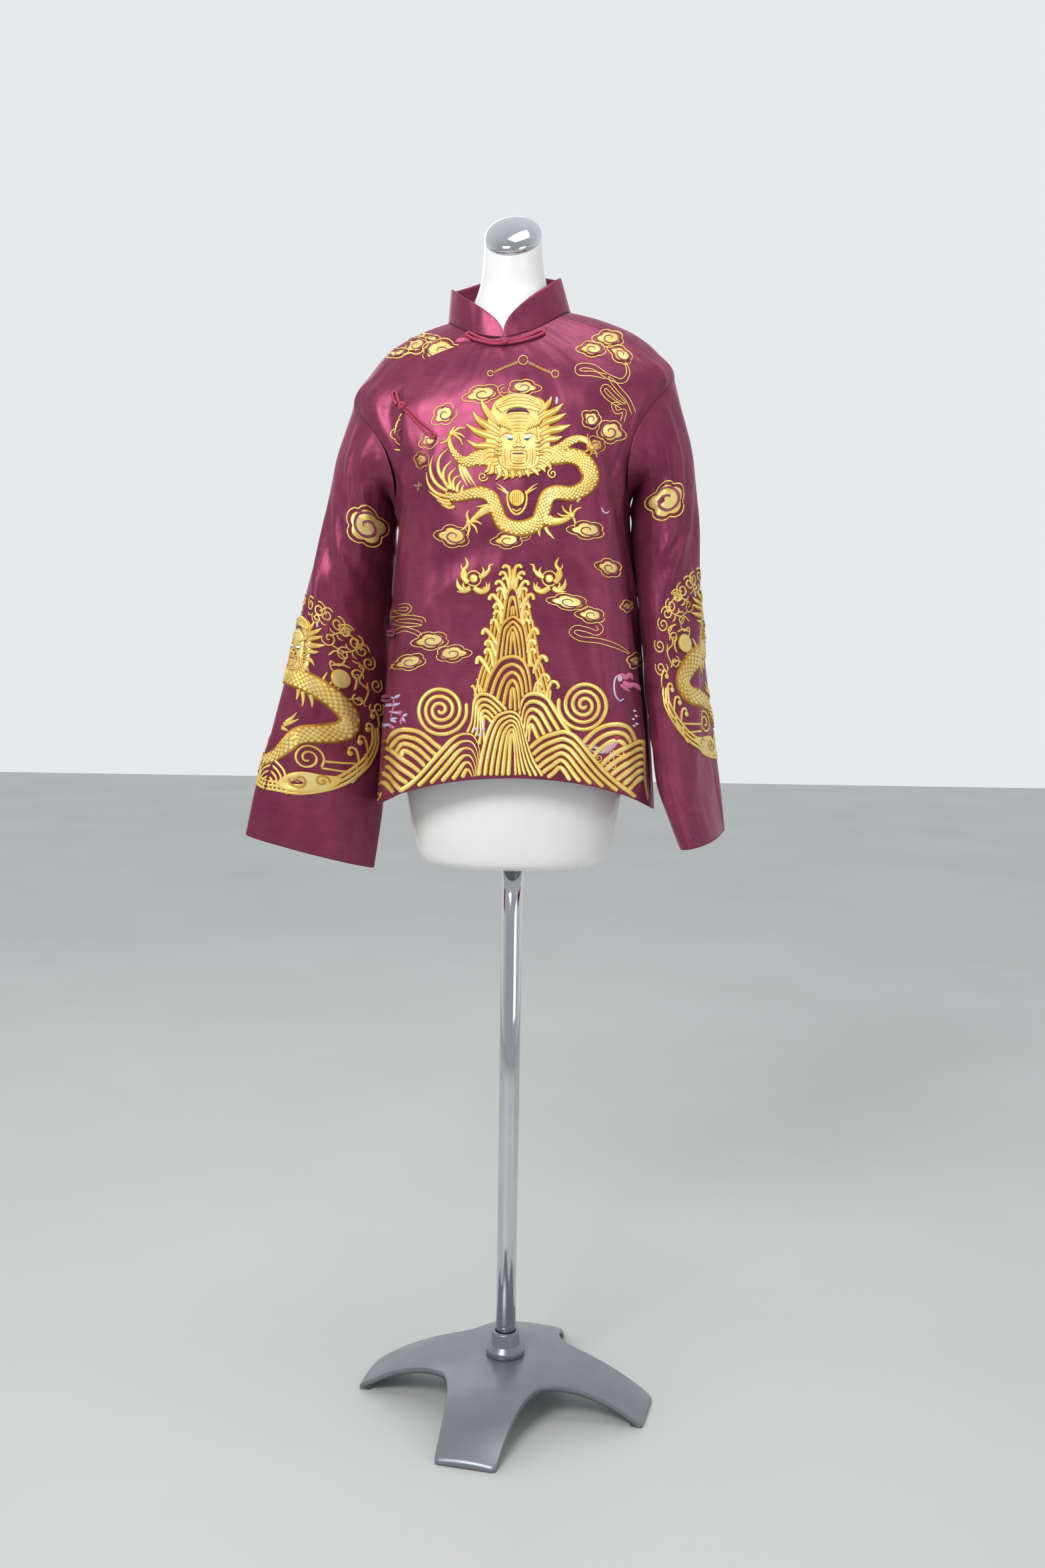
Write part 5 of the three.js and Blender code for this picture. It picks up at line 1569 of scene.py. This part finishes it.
def coloured_details(work):
    """A bat, a sprig, a small bird and blossoms in coloured silk."""
    work.draw_from(*LOWER)
    for path, widths in (
        ([(1250, 618), (1268, 592), (1290, 600), (1310, 585), (1325, 612)], [16, 30, 26, 22, 6]),
        ([(1275, 622), (1305, 640), (1332, 638), (1358, 668)], [24, 30, 22, 4]),
        ([(1262, 636), (1288, 656), (1312, 672)], [18, 20, 5]),
    ):
        work.cord(path, widths, 1.4, PINK, silk=True, step=1.4)
    work.oval(1258, 606, 26, 34, 1.8, (0.8, 0.5, 0.66), True)
    work.cord([(1262, 582), (1236, 602), (1228, 645), (1236, 694), (1258, 718), (1278, 706)],
              [6, 10, 10, 8, 6],
              1.2, (0.72, 0.66, 0.86), silk=True, step=1.4)
    for x, y in ((1334, 770), (1342, 796), (1328, 812), (1345, 836), (1332, 846)):
        work.oval(x, y, 16, 12, 1.1, WHITE, True, turn=30)
    stem = [(70, 842), (96, 800), (108, 760), (112, 706)]
    work.cord(stem, [7, 6, 4], 0.8, PINK, silk=True, step=1.4)
    for x, y, leaves in ((112, 706, (-150, -40)), (106, 742, (180, -20, 200)), (104, 776, (-170, 10)),
                         (92, 812, (165, 30, -10)), (150, 800, (-30, 60)), (76, 838, (140, 200))):
        petals(work, x, y, leaves, 32, (0.62, 0.55, 0.85))
    for x, y, leaves in ((128, 770, (20, 60)), (140, 812, (20, 80, -30)), (96, 838, (60, 120))):
        petals(work, x, y, leaves, 28, PINK)
    work.cord([(1180, 985), (1200, 962), (1228, 940), (1240, 918)], [30, 44, 34, 18], 2.0, (0.8, 0.42, 0.5),
              True)
    work.oval(1240, 908, 26, 24, 2.2, RED, True)
    work.cord([(1190, 972), (1150, 962), (1110, 950), (1082, 943)], [22, 16, 10, 4], 1.3, WHITE, True)
    work.cord([(1186, 980), (1140, 980), (1100, 970)], [18, 12, 4], 1.2, (0.6, 0.6, 0.72), True)
    for x in (1208, 1224):
        work.cord([(x, 968), (x + 4, 992), (x - 4, 1008)], [7, 6, 6], 1.0, WHITE, True, step=1.2)
    for x, y, size, start in ((1150, 1010, 24, 0), (1196, 1032, 24, 90), (1240, 1012, 22, 200),
                              (1262, 984, 18, 30),
                              (1180, 1060, 18, 160), (1228, 1052, 16, 40)):
        work.spiral(x, y, size, 1.6, 7, start=start, height=1.2, step=1.6)
    for x, y in ((528, 862), (556, 832), (546, 892), (562, 862)):
        work.oval(x, y, 24, 20, 1.6, (0.62, 0.64, 0.8), True)
    work.cord([(545, 900), (552, 940)], 5, 0.8, (0.4, 0.5, 0.55), True)
    work.draw_from(*UPPER)
    work.cord([(1165, 955), (1172, 976), (1188, 985), (1200, 975)], [5, 9, 9, 5], 1.2, (0.75, 0.6, 0.8),
              True, step=1.2)
    petals(work, 230, 850, (-80, -30, 100, 200), 26, (0.42, 0.2, 0.12))


def stars(work):
    """Three ringed stars joined by lines."""
    work.draw_from(*UPPER)
    rings = ((765, 205, 23), (598, 273, 14), (928, 275, 18))
    for x, y, radius in rings:
        a = np.linspace(0, 2 * np.pi, 13)[:-1]
        work.cord(np.stack([x + radius * np.cos(a), y + radius * np.sin(a)], 1), 6, 1.0, closed=True,
                  step=1.3)
        work.oval(x, y, radius * 0.8, radius * 0.8, 0.7, GROOVE, True, step=1.3)
    for path in ([(742, 214), (670, 242), (614, 268)], [(788, 214), (850, 245), (910, 270)]):
        for shift in (-3.5, 3.5):
            work.cord([(x, y + shift) for x, y in path], 3.8, 0.7, step=1.8)


def shoulder_clouds(work, wearers_left):
    work.draw_from(*UPPER)
    if not wearers_left:
        work.cloud(338, 150, 196, 106, -10, flip=-1)
        work.cloud(222, 130, 130, 74, -24)
        work.cloud(132, 170, 106, 46, -18)
        work.cloud(298, 96, 106, 44, 8)
        return
    work.cloud(1118, 150, 138, 84, 4)
    work.cloud(1206, 96, 148, 92, 4)
    work.cloud(1262, 178, 130, 88, 34)
    work.ribbon([(1285, 215), (1300, 270), (1270, 312), (1200, 290), (1120, 240), (1050, 238), (1050, 270),
                 (1120, 275), (1190, 290)], 24)
    work.ribbon([(1200, 290), (1250, 350), (1300, 410), (1330, 480)], 22)
    work.ribbon([(1290, 430), (1240, 390), (1190, 340), (1170, 360), (1200, 400), (1270, 445)], 20)
    work.ribbon([(1262, 428), (1225, 432), (1240, 470), (1280, 465), (1270, 520)], 18)
    work.cloud(1114, 508, 96, 104, 50)
    work.cloud(1208, 570, 138, 124, 10, flip=-1)
    # Darker gold at the shaded side by the armhole: painted shade.
    work.cloud(1136, 640, 84, 100, 70, tint=AMBER)


def chest_clouds(work):
    work.draw_from(*UPPER)
    work.cloud(366, 482, 132, 106, -30)
    work.cloud(286, 614, 98, 88, -20)
    # Darker gold at the shaded side of the chest: painted shade.
    work.cloud(250, 712, 76, 90, -60, tint=AMBER)
    work.cloud(562, 378, 182, 96, -10)
    work.cloud(764, 345, 156, 84, 0, flip=-1)
    work.ribbon([(700, 372), (660, 380), (645, 350), (672, 335)], 16)
    work.cloud(412, 1104, 168, 118, 10)
    work.cloud(688, 1124, 150, 88, 0)
    work.ribbon([(750, 1120), (790, 1112), (798, 1088)], 14)
    work.cloud(1094, 1072, 176, 98, 6)


def under_lap_cloud(work):
    work.draw_from(*UPPER)
    work.cloud(150, 575, 120, 150, 80)
    work.cord([(165, 455), (130, 482), (108, 530), (92, 580)], 8, 1.1)
    work.cord([(170, 640), (135, 662), (95, 660)], 10, 1.2)


def scales(work, path, widths, lift, size=17, tint=BRIGHT):
    """Overlapping scales along a limb, each a small raised lens."""
    line = smooth_path(path, size * 0.66)
    run = np.gradient(line, axis=0)
    run /= np.linalg.norm(run, axis=1, keepdims=True)
    aside = np.stack([-run[:, 1], run[:, 0]], 1)
    width = 0.84 * np.interp(np.linspace(0, 1, len(line)), np.linspace(0, 1, len(widths)), widths)
    for i in range(1, len(line) - 1):
        lanes = max(int(width[i] / (size * 1.1)), 1)
        for lane in range(lanes):
            off = (lane - (lanes - 1) / 2 + (0.25 if i % 2 else -0.25)) * width[i] / (lanes + 0.6)
            crown = math.sqrt(max(1 - (2 * off / max(width[i], 1) * 0.84) ** 2, 0.05))
            x, y = line[i] + aside[i] * off
            angle = math.degrees(math.atan2(run[i, 1], run[i, 0]))
            work.oval(x, y, size * 1.2, size * 0.95, 0.55, tint, turn=angle, lift=lift * crown - 0.15,
                      step=2.4)


BODY_LINE = [(860, 700), (930, 700), (1000, 692), (1068, 718), (1108, 788), (1086, 850), (1012, 884),
             (935, 880), (888, 905), (868, 965), (845, 1026), (785, 1058), (715, 1060), (658, 1030),
             (626, 960), (602, 905), (548, 880), (480, 892), (415, 905), (365, 888)]
BODY_WIDTHS = [78, 84, 90, 94, 94, 90, 84, 80, 82, 86, 88, 88, 88, 86, 80, 76, 72, 66, 56, 38]

TAIL_BLADES = [
    [(385, 905), (320, 880), (286, 832), (275, 776)], [(380, 875), (322, 832), (296, 760), (309, 690)],
    [(378, 845), (338, 775), (342, 705), (386, 656)], [(392, 862), (362, 820), (364, 762), (406, 712)],
    [(398, 866), (392, 834), (390, 792), (423, 752)], [(414, 872), (408, 842), (416, 808), (448, 792)],
    [(430, 880), (428, 862), (436, 838), (453, 818)], [(395, 925), (352, 918), (318, 898), (286, 872)],
    [(402, 938), (372, 938), (345, 928), (322, 916)], [(420, 950), (392, 958), (368, 950), (345, 940)],
    [(452, 884), (452, 866), (458, 850), (466, 842)],
]
LIMBS = [
    ([(620, 705), (545, 700), (480, 724), (432, 700), (400, 650), (392, 605), (404, 560)],
     [104, 98, 74, 52, 36, 26, 26]),
    ([(880, 690), (945, 665), (1000, 622), (1050, 606), (1092, 622), (1112, 668)], [84, 78, 56, 44, 34, 26]),
    ([(628, 950), (575, 968), (530, 1000), (490, 1038)], [60, 54, 36, 22]),
    ([(862, 1010), (915, 1026), (970, 1022), (1014, 1000)], [80, 56, 38, 24]),
]
CLAWS = [
    ((404, 580), ((342, 634), (424, 542), (474, 552), (470, 602), (458, 642)), BRIGHT),
    # This claw at the shaded side is darker gold: painted shade.
    ((1112, 652), ((1056, 672), (1096, 700), (1136, 706), (1162, 640), (1094, 578)), AMBER),
    ((488, 1030), ((436, 1076), (488, 966), (556, 1044), (532, 1090), (474, 1104)), BRIGHT),
    ((1014, 996), ((936, 984), (962, 946), (1012, 940), (1064, 956), (1026, 1056)), BRIGHT),
]
TUFTS = [
    [(440, 735), (452, 790), (484, 852)], [(462, 748), (492, 800), (528, 854)],
    [(452, 742), (474, 800), (506, 846)],
    [(846, 1060), (846, 1080), (850, 1108)], [(878, 1054), (892, 1082), (926, 1120)],
    [(610, 940), (566, 948), (522, 954)], [(604, 890), (548, 878), (482, 872)],
    [(1056, 906), (1042, 924), (1046, 934)],
]
MANE = [
    ([(650, 545), (606, 500), (568, 446), (545, 392)], 40),
    ([(650, 580), (596, 548), (540, 512), (506, 466)], 46),
    ([(650, 610), (590, 590), (524, 566), (474, 530)], 46),
    ([(650, 650), (590, 642), (524, 640), (478, 612)], 40),
    ([(640, 690), (590, 690), (560, 716), (540, 748)], 44),
    ([(640, 730), (610, 740), (590, 764), (566, 780)], 40),
    ([(840, 480), (872, 452), (898, 420), (912, 388)], 36),
    ([(842, 512), (890, 484), (936, 458), (972, 424)], 40),
    ([(846, 548), (892, 520), (944, 500), (987, 476)], 40),
    ([(850, 590), (900, 566), (956, 554), (1007, 536)], 44),
    ([(850, 630), (896, 610), (936, 606), (966, 594)], 40),
    ([(846, 670), (890, 664), (924, 676), (944, 706)], 40),
    ([(840, 714), (872, 722), (900, 744), (906, 766)], 36),
]
MASS = [(742, 378), (820, 388), (868, 408), (884, 450), (900, 520), (905, 600), (905, 680), (895, 742),
        (850, 776), (790, 792), (700, 806), (650, 800), (604, 776), (576, 740), (576, 680), (572, 600),
        (580, 520), (600, 460), (622, 412), (672, 386)]
DOME = [(742, 376), (790, 382), (840, 402), (866, 432), (852, 470), (800, 462), (742, 450), (690, 458),
        (650, 478), (618, 440), (640, 404), (690, 384)]
FACE = [(742, 476), (790, 482), (822, 506), (838, 560), (842, 620), (852, 690), (842, 738), (800, 766),
        (742, 776), (684, 770), (644, 740), (634, 690), (642, 620), (646, 560), (662, 506), (694, 482)]


def dragon(work):
    """A dragon seen from the front, its body coiled about a pearl."""
    work.draw_from(*UPPER)
    for blade in TAIL_BLADES:
        work.cord(blade, [24, 22, 17, 3], 1.7, blunt=0.9, step=1.8)
    work.cord(BODY_LINE, BODY_WIDTHS, 2.6, step=2.0)
    scales(work, BODY_LINE, BODY_WIDTHS, 2.6)
    belly(work, BODY_LINE, BODY_WIDTHS)
    for path, widths in LIMBS:
        work.cord(path, widths, 2.2, step=2.0)
        scales(work, path[:-2], widths[:-2], 2.2, size=15)
    for (x, y), tips, tint in CLAWS:
        for tip_x, tip_y in tips:
            knuckle = (x + (tip_x - x) * 0.55 + (tip_y - y) * 0.14,
                       y + (tip_y - y) * 0.55 - (tip_x - x) * 0.14)
            work.cord([(x, y), knuckle, (tip_x, tip_y)], [17, 16, 6], 1.8, tint, blunt=0.8, step=1.4)
        work.oval(x, y, 32, 28, 2.3, tint)
    for tuft in TUFTS:
        work.cord(tuft, [24, 19, 3], 1.8, blunt=0.9, step=1.8)
    dragon_head(work)
    dragon_pearl(work)


def dragon_head(work):
    """Mane, padded head and forehead, with the features on them."""
    work.patch(MASS, 2.0, step=2.0, centre=(742, 600))
    for lock, width in MANE:
        work.cord(lock, [width * 0.8, width * 1.2, width * 0.95, 5], 3.0, blunt=0.8, step=1.8)
        for shift in (-0.22, 0.24):
            strand = [(x, y + shift * width * fade) for (x, y), fade in zip(lock, (1, 1, 0.8))]
            work.cord(strand, [4, 6, 3], 0.4, FURROW_SHADE, lift=2.6, step=1.8)
    work.cord([(934, 430), (937, 408), (935, 392)], [12, 15, 12], 1.6, WHITE, True, step=1.5)
    work.patch(DOME, 3.4, step=1.8, centre=(742, 420))
    work.patch(FACE, 3.2, step=1.8, centre=(742, 620))
    dragon_face(work)


def belly(work, path, widths):
    """A ribbed border along the outer side of the body."""
    line = smooth_path(path, 9.0)
    run = np.gradient(line, axis=0)
    run /= np.linalg.norm(run, axis=1, keepdims=True)
    aside = np.stack([-run[:, 1], run[:, 0]], 1)
    width = np.interp(np.linspace(0, 1, len(line)), np.linspace(0, 1, len(widths)), widths)
    border = line - aside * (width * 0.3)[:, None]
    work.cord(border[2:-3], 5, 0.4, AMBER, lift=2.1, step=2.0)
    for i in range(2, len(line) - 4):
        start = line[i] - aside[i] * width[i] * 0.32
        end = line[i] - aside[i] * width[i] * 0.47 - run[i] * 5
        work.cord([start, (start + end) / 2, end], [4, 5, 4], 0.5, AMBER, lift=1.3, step=1.6)


def dragon_face(work):
    """Brow, eyes, nose, jaws and whiskers, each a raised shape on the padded head."""
    up = 3.3
    for y, reach, fall in ((398, 84, 26), (414, 104, 30), (432, 112, 26)):
        arc = [(742 - reach, y + fall), (742 - reach * 0.5, y + fall * 0.2), (742, y),
               (742 + reach * 0.5, y + fall * 0.2),
               (742 + reach, y + fall)]
        work.cord(arc, 4.5, 0.5, FURROW_SHADE, lift=up + 0.2, step=1.8)
    work.cord([(680, 480), (700, 466), (742, 461), (778, 465), (797, 478)], [6, 17, 20, 17, 6], 1.4, MAROON,
              True,
              lift=up - 0.6, step=1.8)
    for y, reach in ((500, 50), (518, 44), (536, 38), (553, 32), (568, 26)):
        work.cord([(742 - reach, y + 6), (742, y), (742 + reach, y + 6)], [5, 11, 5], 0.8, lift=up, step=1.8)
    for way in (-1, 1):

        def turned(*points):
            return [(742 + way * (x - 742), y) for x, y in points]

        for step in range(5):
            x, y = 784 + step * 14, 566 - step * 6
            work.cord(turned((x, y), (x + 12, y - 22), (x + 26, y - 34)), [11, 13, 4], 1.2, lift=up,
                      blunt=0.8, step=1.5)
        work.cord(turned((772, 586), (798, 576), (822, 584), (834, 600)), [8, 14, 12, 5], 1.5, lift=up,
                  step=1.5)
        eye = turned((768, 608), (778, 594), (802, 588), (812, 592), (800, 606), (784, 613))
        work.patch(eye, 1.0, (0.9, 0.93, 0.97), True, step=1.2, lift=up + 0.4)
        work.cord(turned((771, 611), (784, 613), (798, 608)), [6, 9, 5], 0.7, TEAL, True, lift=up + 1.4,
                  step=1.2)
        for step, (x, low) in enumerate(((782, 728), (796, 738), (810, 744), (824, 736))):
            work.cord(turned((x, 668 - step * 4), (x + 3, 698), (x - 2, low)), [6, 9, 6], 0.9,
                      tint=FURROW_SHADE if step % 2 == 0 else BRIGHT, lift=up, step=1.6)
        for step in range(4):
            y = 628 + 22 * step
            work.cord(turned((826 + step * 2, y), (846, y - 8), (868, y - 22 + step * 6)), [12, 14, 4], 1.2,
                      lift=up - 0.2,
                      blunt=0.9, step=1.6)
        work.oval(742 + way * 21, 646, 25, 20, 1.5, lift=up + 0.6)
        work.oval(742 + way * 18, 652, 8, 6, 0.4, FURROW_SHADE, True, lift=up + 2.0, step=1.2)
    for x, y, start, way in ((560, 800, 180, -1), (914, 785, 90, 1)):
        work.spiral(x, y, 26, 1.5, 11, start=start, way=way, inner=3, height=2.0, lift=0.3, step=1.6)
    work.cord([(742, 582), (742, 606), (742, 632)], [13, 15, 30], 1.5, lift=up, step=1.8)
    work.oval(742, 641, 34, 27, 1.7, lift=up + 0.4)
    work.cord([(700, 672), (720, 665), (742, 667), (764, 665), (784, 672)], [8, 12, 10, 12, 8], 1.2,
              lift=up + 0.2)
    work.cord([(712, 691), (716, 684), (740, 684), (764, 684), (768, 690)], [5, 8, 8, 8, 5], 0.8, BROWN, True,
              lift=up + 0.5, step=1.3)
    work.cord([(712, 732), (742, 733), (772, 731)], [8, 11, 8], 1.5, (1.0, 0.98, 0.92), lift=up + 0.6,
              step=1.6)
    for y, reach in ((706, 30), (719, 30), (748, 56), (762, 44)):
        work.cord([(742 - reach, y - 4), (742, y), (742 + reach, y - 4)], [5, 9, 5], 0.9, lift=up, step=1.6)
    for beard in ([(640, 756), (646, 790), (624, 820)], [(672, 764), (682, 796), (664, 818)],
                  [(706, 768), (716, 796), (704, 812)], [(740, 770), (752, 792), (744, 808)],
                  [(774, 768), (792, 786), (790, 804)], [(806, 758), (830, 774), (846, 798)],
                  [(610, 744), (606, 776), (580, 788)], [(838, 744), (866, 758), (880, 780)]):
        work.cord(beard, [34, 30, 3], 2.2, lift=1.2, blunt=0.9, step=1.7)


def dragon_pearl(work):
    work.oval(732, 908, 86, 92, 2.0, (0.92, 0.82, 0.62))
    for x in (712, 722, 732, 742, 752):
        work.cord([(x, 880), (x, 936)], 5, 0.6, AMBER, lift=1.9, step=1.6)
    ring = [(690, 872), (684, 915), (696, 960), (722, 990), (752, 984), (776, 950), (784, 905), (776, 868)]
    work.cord(ring, [12, 14, 16, 16, 16, 14, 12], 1.5)
    work.cord([(708, 960), (722, 972), (740, 972), (756, 958)], 12, 1.3)
    for way, x in ((-1, 690), (1, 776)):
        for rise, reach in ((52, 66), (30, 62), (40, 44)):
            work.cord([(x, 890), (x + way * reach * 0.5, 890 - rise * 0.7), (x + way * reach, 884 - rise)],
                      [15, 12, 3], 1.4, blunt=0.9, step=1.5)


def roundel(work):
    """Half of a dragon roundel is seen from the front, and its other half matches it."""
    work.draw_from((28, -4), 0.362)
    rim = 376
    for turn in range(-88, 91, 14):
        a = math.radians(turn - 90)
        if turn > 60:
            continue
        for way in (1, -1):
            x, y = way * (rim - 30) * math.cos(a) * 1.0, (rim - 30) * math.sin(a)
            if way < 0 and abs(turn) < 8:
                continue
            work.spiral(x, y, 30, 1.6, 8, start=way * turn + 90, way=way, inner=3, height=1.2, step=1.6)
            work.cord([(x * 0.9 - 16 * math.sin(a) * way, y * 0.9 + 16 * math.cos(a)), (x * 0.88, y * 0.88),
                       (x * 0.9 + 16 * math.sin(a) * way, y * 0.9 - 16 * math.cos(a))], [4, 9, 4], 1.1,
                       step=1.6)
    for way in (1, -1):
        swell = [(way * 345, 60), (way * 352, 120), (way * 320, 190), (way * 262, 262), (way * 190, 318),
                 (way * 110, 352), (0, 366)]
        for inset in (0, 17, 34):
            work.cord([(x * (1 - inset / 420), y * (1 - inset / 420)) for x, y in swell], 13, 1.5)
        for x, y in ((300, 70), (272, 120), (246, 166), (318, 20)):
            work.curl(way * x, y, -way, 24)
            work.cord([(way * (x + 26), y + 34), (way * (x + 34), y + 70), (way * (x + 18), y + 106)], 13,
                      1.3)
        work.spiral(way * 122, 214, 52, 2.0, 10, start=30, way=way, inner=8, height=1.3)
        work.cord([(way * 172, 214), (way * 230, 205), (way * 280, 196)], 10, 1.2)
        work.cord([(way * 166, 240), (way * 220, 236), (way * 262, 232)], 10, 1.2)
        bank = [(way * 60, 300), (way * 104, 268), (way * 170, 262), (way * 236, 256), (way * 214, 300),
                (way * 150, 336), (way * 84, 352), (way * 40, 340)]
        work.patch(bank, 1.6)
        work.spiral(way * 110, 302, 30, 1.5, 7, start=0, way=way, height=1.0, tint=AMBER, lift=1.5)
        work.spiral(way * 176, 286, 24, 1.5, 7, start=180, way=way, height=1.0, tint=AMBER, lift=1.5)
        for size in (110, 88, 66, 44, 22):
            work.cord([(way * 4, 362 - size), (way * size * 0.55, 366 - size * 0.72),
                       (way * size * 0.78, 366)], 12, 1.4)
        for path in ([(150, -240), (214, -268), (262, -230), (214, -196), (160, -210)],
                     [(150, -170), (178, -192), (210, -170), (190, -140), (160, -150), (166, -120),
                      (206, -110)],
                     [(236, -170), (278, -150), (262, -100), (296, -70), (280, -20)],
                     [(120, -60), (150, -30), (206, -20), (258, -34), (290, -10)]):
            work.cord([(way * x, y) for x, y in path], 8, 1.0, step=1.6)
    line = [(-150, -40), (-60, -62), (40, -60), (130, -40), (200, 0), (236, 46), (214, 92), (150, 118),
            (80, 142), (40, 190), (0, 236), (-60, 262), (-120, 250)]
    widths = [60, 76, 84, 86, 84, 80, 78, 76, 72, 66, 58, 46, 30]
    work.cord(line, widths, 2.4, step=2.0)
    scales(work, line, widths, 2.4)
    for root, tip in (((70, -20), (76, 40)), ((100, -14), (112, 34)), ((50, -24), (48, 20)),
                      ((10, 120), (72, 82)), ((20, 110), (60, 60)), ((0, 130), (40, 136))):
        work.cord([root, ((root[0] + tip[0]) / 2 + 4, (root[1] + tip[1]) / 2), tip], [22, 16, 3], 1.7,
                  blunt=0.9)
    work.oval(196, -94, 74, 74, 2.2)
    for path in ([(150, -110), (140, -70), (166, -40), (206, -46)], [(236, -130), (252, -96), (244, -60)],
                 [(160, -134), (196, -146), (232, -140)]):
        work.cord(path, [6, 12, 8], 1.2)
    for x, y, size, start in ((150, -232, 30, 0), (206, -186, 28, 120), (252, -118, 26, 200),
                              (262, -30, 24, 60),
                              (172, -66, 22, 300), (96, -296, 24, 40), (214, -270, 22, 160)):
        for way in (1, -1):
            work.spiral(way * x, y, size, 1.5, 7, start=start, way=way, height=1.1, step=1.5)
    work.draw_from((28 - 742 * 0.19, -66 - 600 * 0.19), 0.19)
    dragon_head(work)


def sleeve_cloud(work, place, turn=-28):
    work.draw_from(place, 0.35)
    work.cloud(0, 0, 215, 165, turn, flip=-1, curls=1.5, line=8)


# ---- laying it on the cloth ---------------------------------------------
front_plan = Plan(seen_from_front, np.linspace(-96, 96, 193), (500, 440), (560, 800))
back_plan = Plan(seen_from_back, np.linspace(84, 276, 193), (540, 470), (490, 760))


def on_main_front(angle, level):
    last = np.minimum(armhole_angle(level, ARMHOLE_FRONT) - 1.5, 87)
    return (angle > np.maximum(opening_angle(level) + 1.2,
                               -86)) & (angle < last) & (level > 0.06) & (level < 9.8)


def on_under_lap(angle, level):
    first = 2 - armhole_angle(level, ARMHOLE_FRONT)
    return (angle > first) & (angle < opening_angle(level) - 0.8) & (level > 3.6) & (level < 9.8)


def on_back(angle, level):
    edge = armhole_angle(level, -ARMHOLE_BACK) + 3
    return (angle > edge) & (angle < 360 - edge) & (level > 0.06) & (level < 9.7)


def cover_by_waves(work):
    """The waves of the hem, but for their cords: what comes next stops at them."""
    shadow = Embroidery(work.ground)
    hem_waves(shadow)
    work.covered = shadow.covered


def embroider(name, ground, *motifs):
    work = Embroidery(ground)
    for motif in motifs:
        motif(work)
    return work.lay(name)


main_ground = BodyGround(front_plan, on_main_front)
under_ground = BodyGround(front_plan, on_under_lap, underlap_sink)
back_ground = BodyGround(back_plan, on_back)

embroider("front_waves", main_ground, hem_waves)
embroider("front_mountain", main_ground, cover_by_waves, mountain)
embroider("front_spirals", main_ground, cover_by_waves, sea_spirals)
embroider("front_clouds", main_ground, lower_clouds, chest_clouds, stars,
          lambda work: shoulder_clouds(work, True))
embroider("front_dragon", main_ground, dragon)
embroider("front_silks", main_ground, coloured_details)
embroider("under_lap_clouds", under_ground, lambda work: shoulder_clouds(work, False), under_lap_cloud)
embroider("back_waves", back_ground, hem_waves)
embroider("back_mountain", back_ground, cover_by_waves, mountain)
embroider("back_spirals", back_ground, cover_by_waves, sea_spirals)
embroider("back_clouds", back_ground, lower_clouds, chest_clouds, stars)
embroider("back_dragon", back_ground, dragon)
for side, sleeve, height, place in (("right", sleeve_right, 993, (116, -262)),
                                    ("left", sleeve_left, 1034, (104, -248))):
    ground = SleeveGround(sleeve, height)
    embroider(f"sleeve_{side}_roundel", ground, roundel)
    embroider(f"sleeve_{side}_cloud", ground, lambda work, place=place: sleeve_cloud(work, place))
# ---- floor, light and camera --------------------------------------------
def studio():
    bpy.ops.mesh.primitive_plane_add(size=14, location=(0, 2, 0))
    floor = bpy.context.object
    floor.name = "floor"
    floor.data.materials.append(floor_finish())
    world = bpy.data.worlds.new("studio")
    bpy.context.scene.world = world
    world.use_nodes = True
    nodes, links = world.node_tree.nodes, world.node_tree.links
    background = nodes["Background"]
    background.inputs["Color"].default_value = (0.945, 0.975, 1.0, 1.0)
    direction = nodes.new("ShaderNodeTexCoord")
    axes = nodes.new("ShaderNodeSeparateXYZ")
    depth = nodes.new("ShaderNodeMapRange")
    for field, value in (("From Min", -0.6), ("From Max", 0.5), ("To Min", 0.46), ("To Max", 0.84)):
        depth.inputs[field].default_value = value
    links.new(direction.outputs["Generated"], axes.inputs[0])
    links.new(axes.outputs["Y"], depth.inputs["Value"])
    links.new(depth.outputs[0], background.inputs["Strength"])
    lamps = [
        ("key", (-1.3, -2.7, 3.0), (0, 0, 1.15), 1.4, 1.0, 84),
        ("fill", (2.4, -2.4, 1.5), (0, 0, 1.1), 1.6, 1.6, 12),
        ("top", (0.3, -0.3, 3.4), (0, 0, 1.2), 1.2, 0.8, 16),
        ("behind", (-0.8, 2.4, 2.4), (0, 0, 1.2), 1.8, 1.2, 6),
    ]
    for name, place, target, width, height, power in lamps:
        data = bpy.data.lights.new(name, "AREA")
        data.shape = "RECTANGLE"
        data.size = width
        data.size_y = height
        data.energy = power
        lamp = bpy.data.objects.new(name, data)
        lamp.location = place
        lamp.rotation_euler = (Vector(target) - Vector(place)).to_track_quat("-Z", "Y").to_euler()
        bpy.context.collection.objects.link(lamp)


studio()
place_camera()
bpy.context.scene.view_settings.view_transform = "Standard"
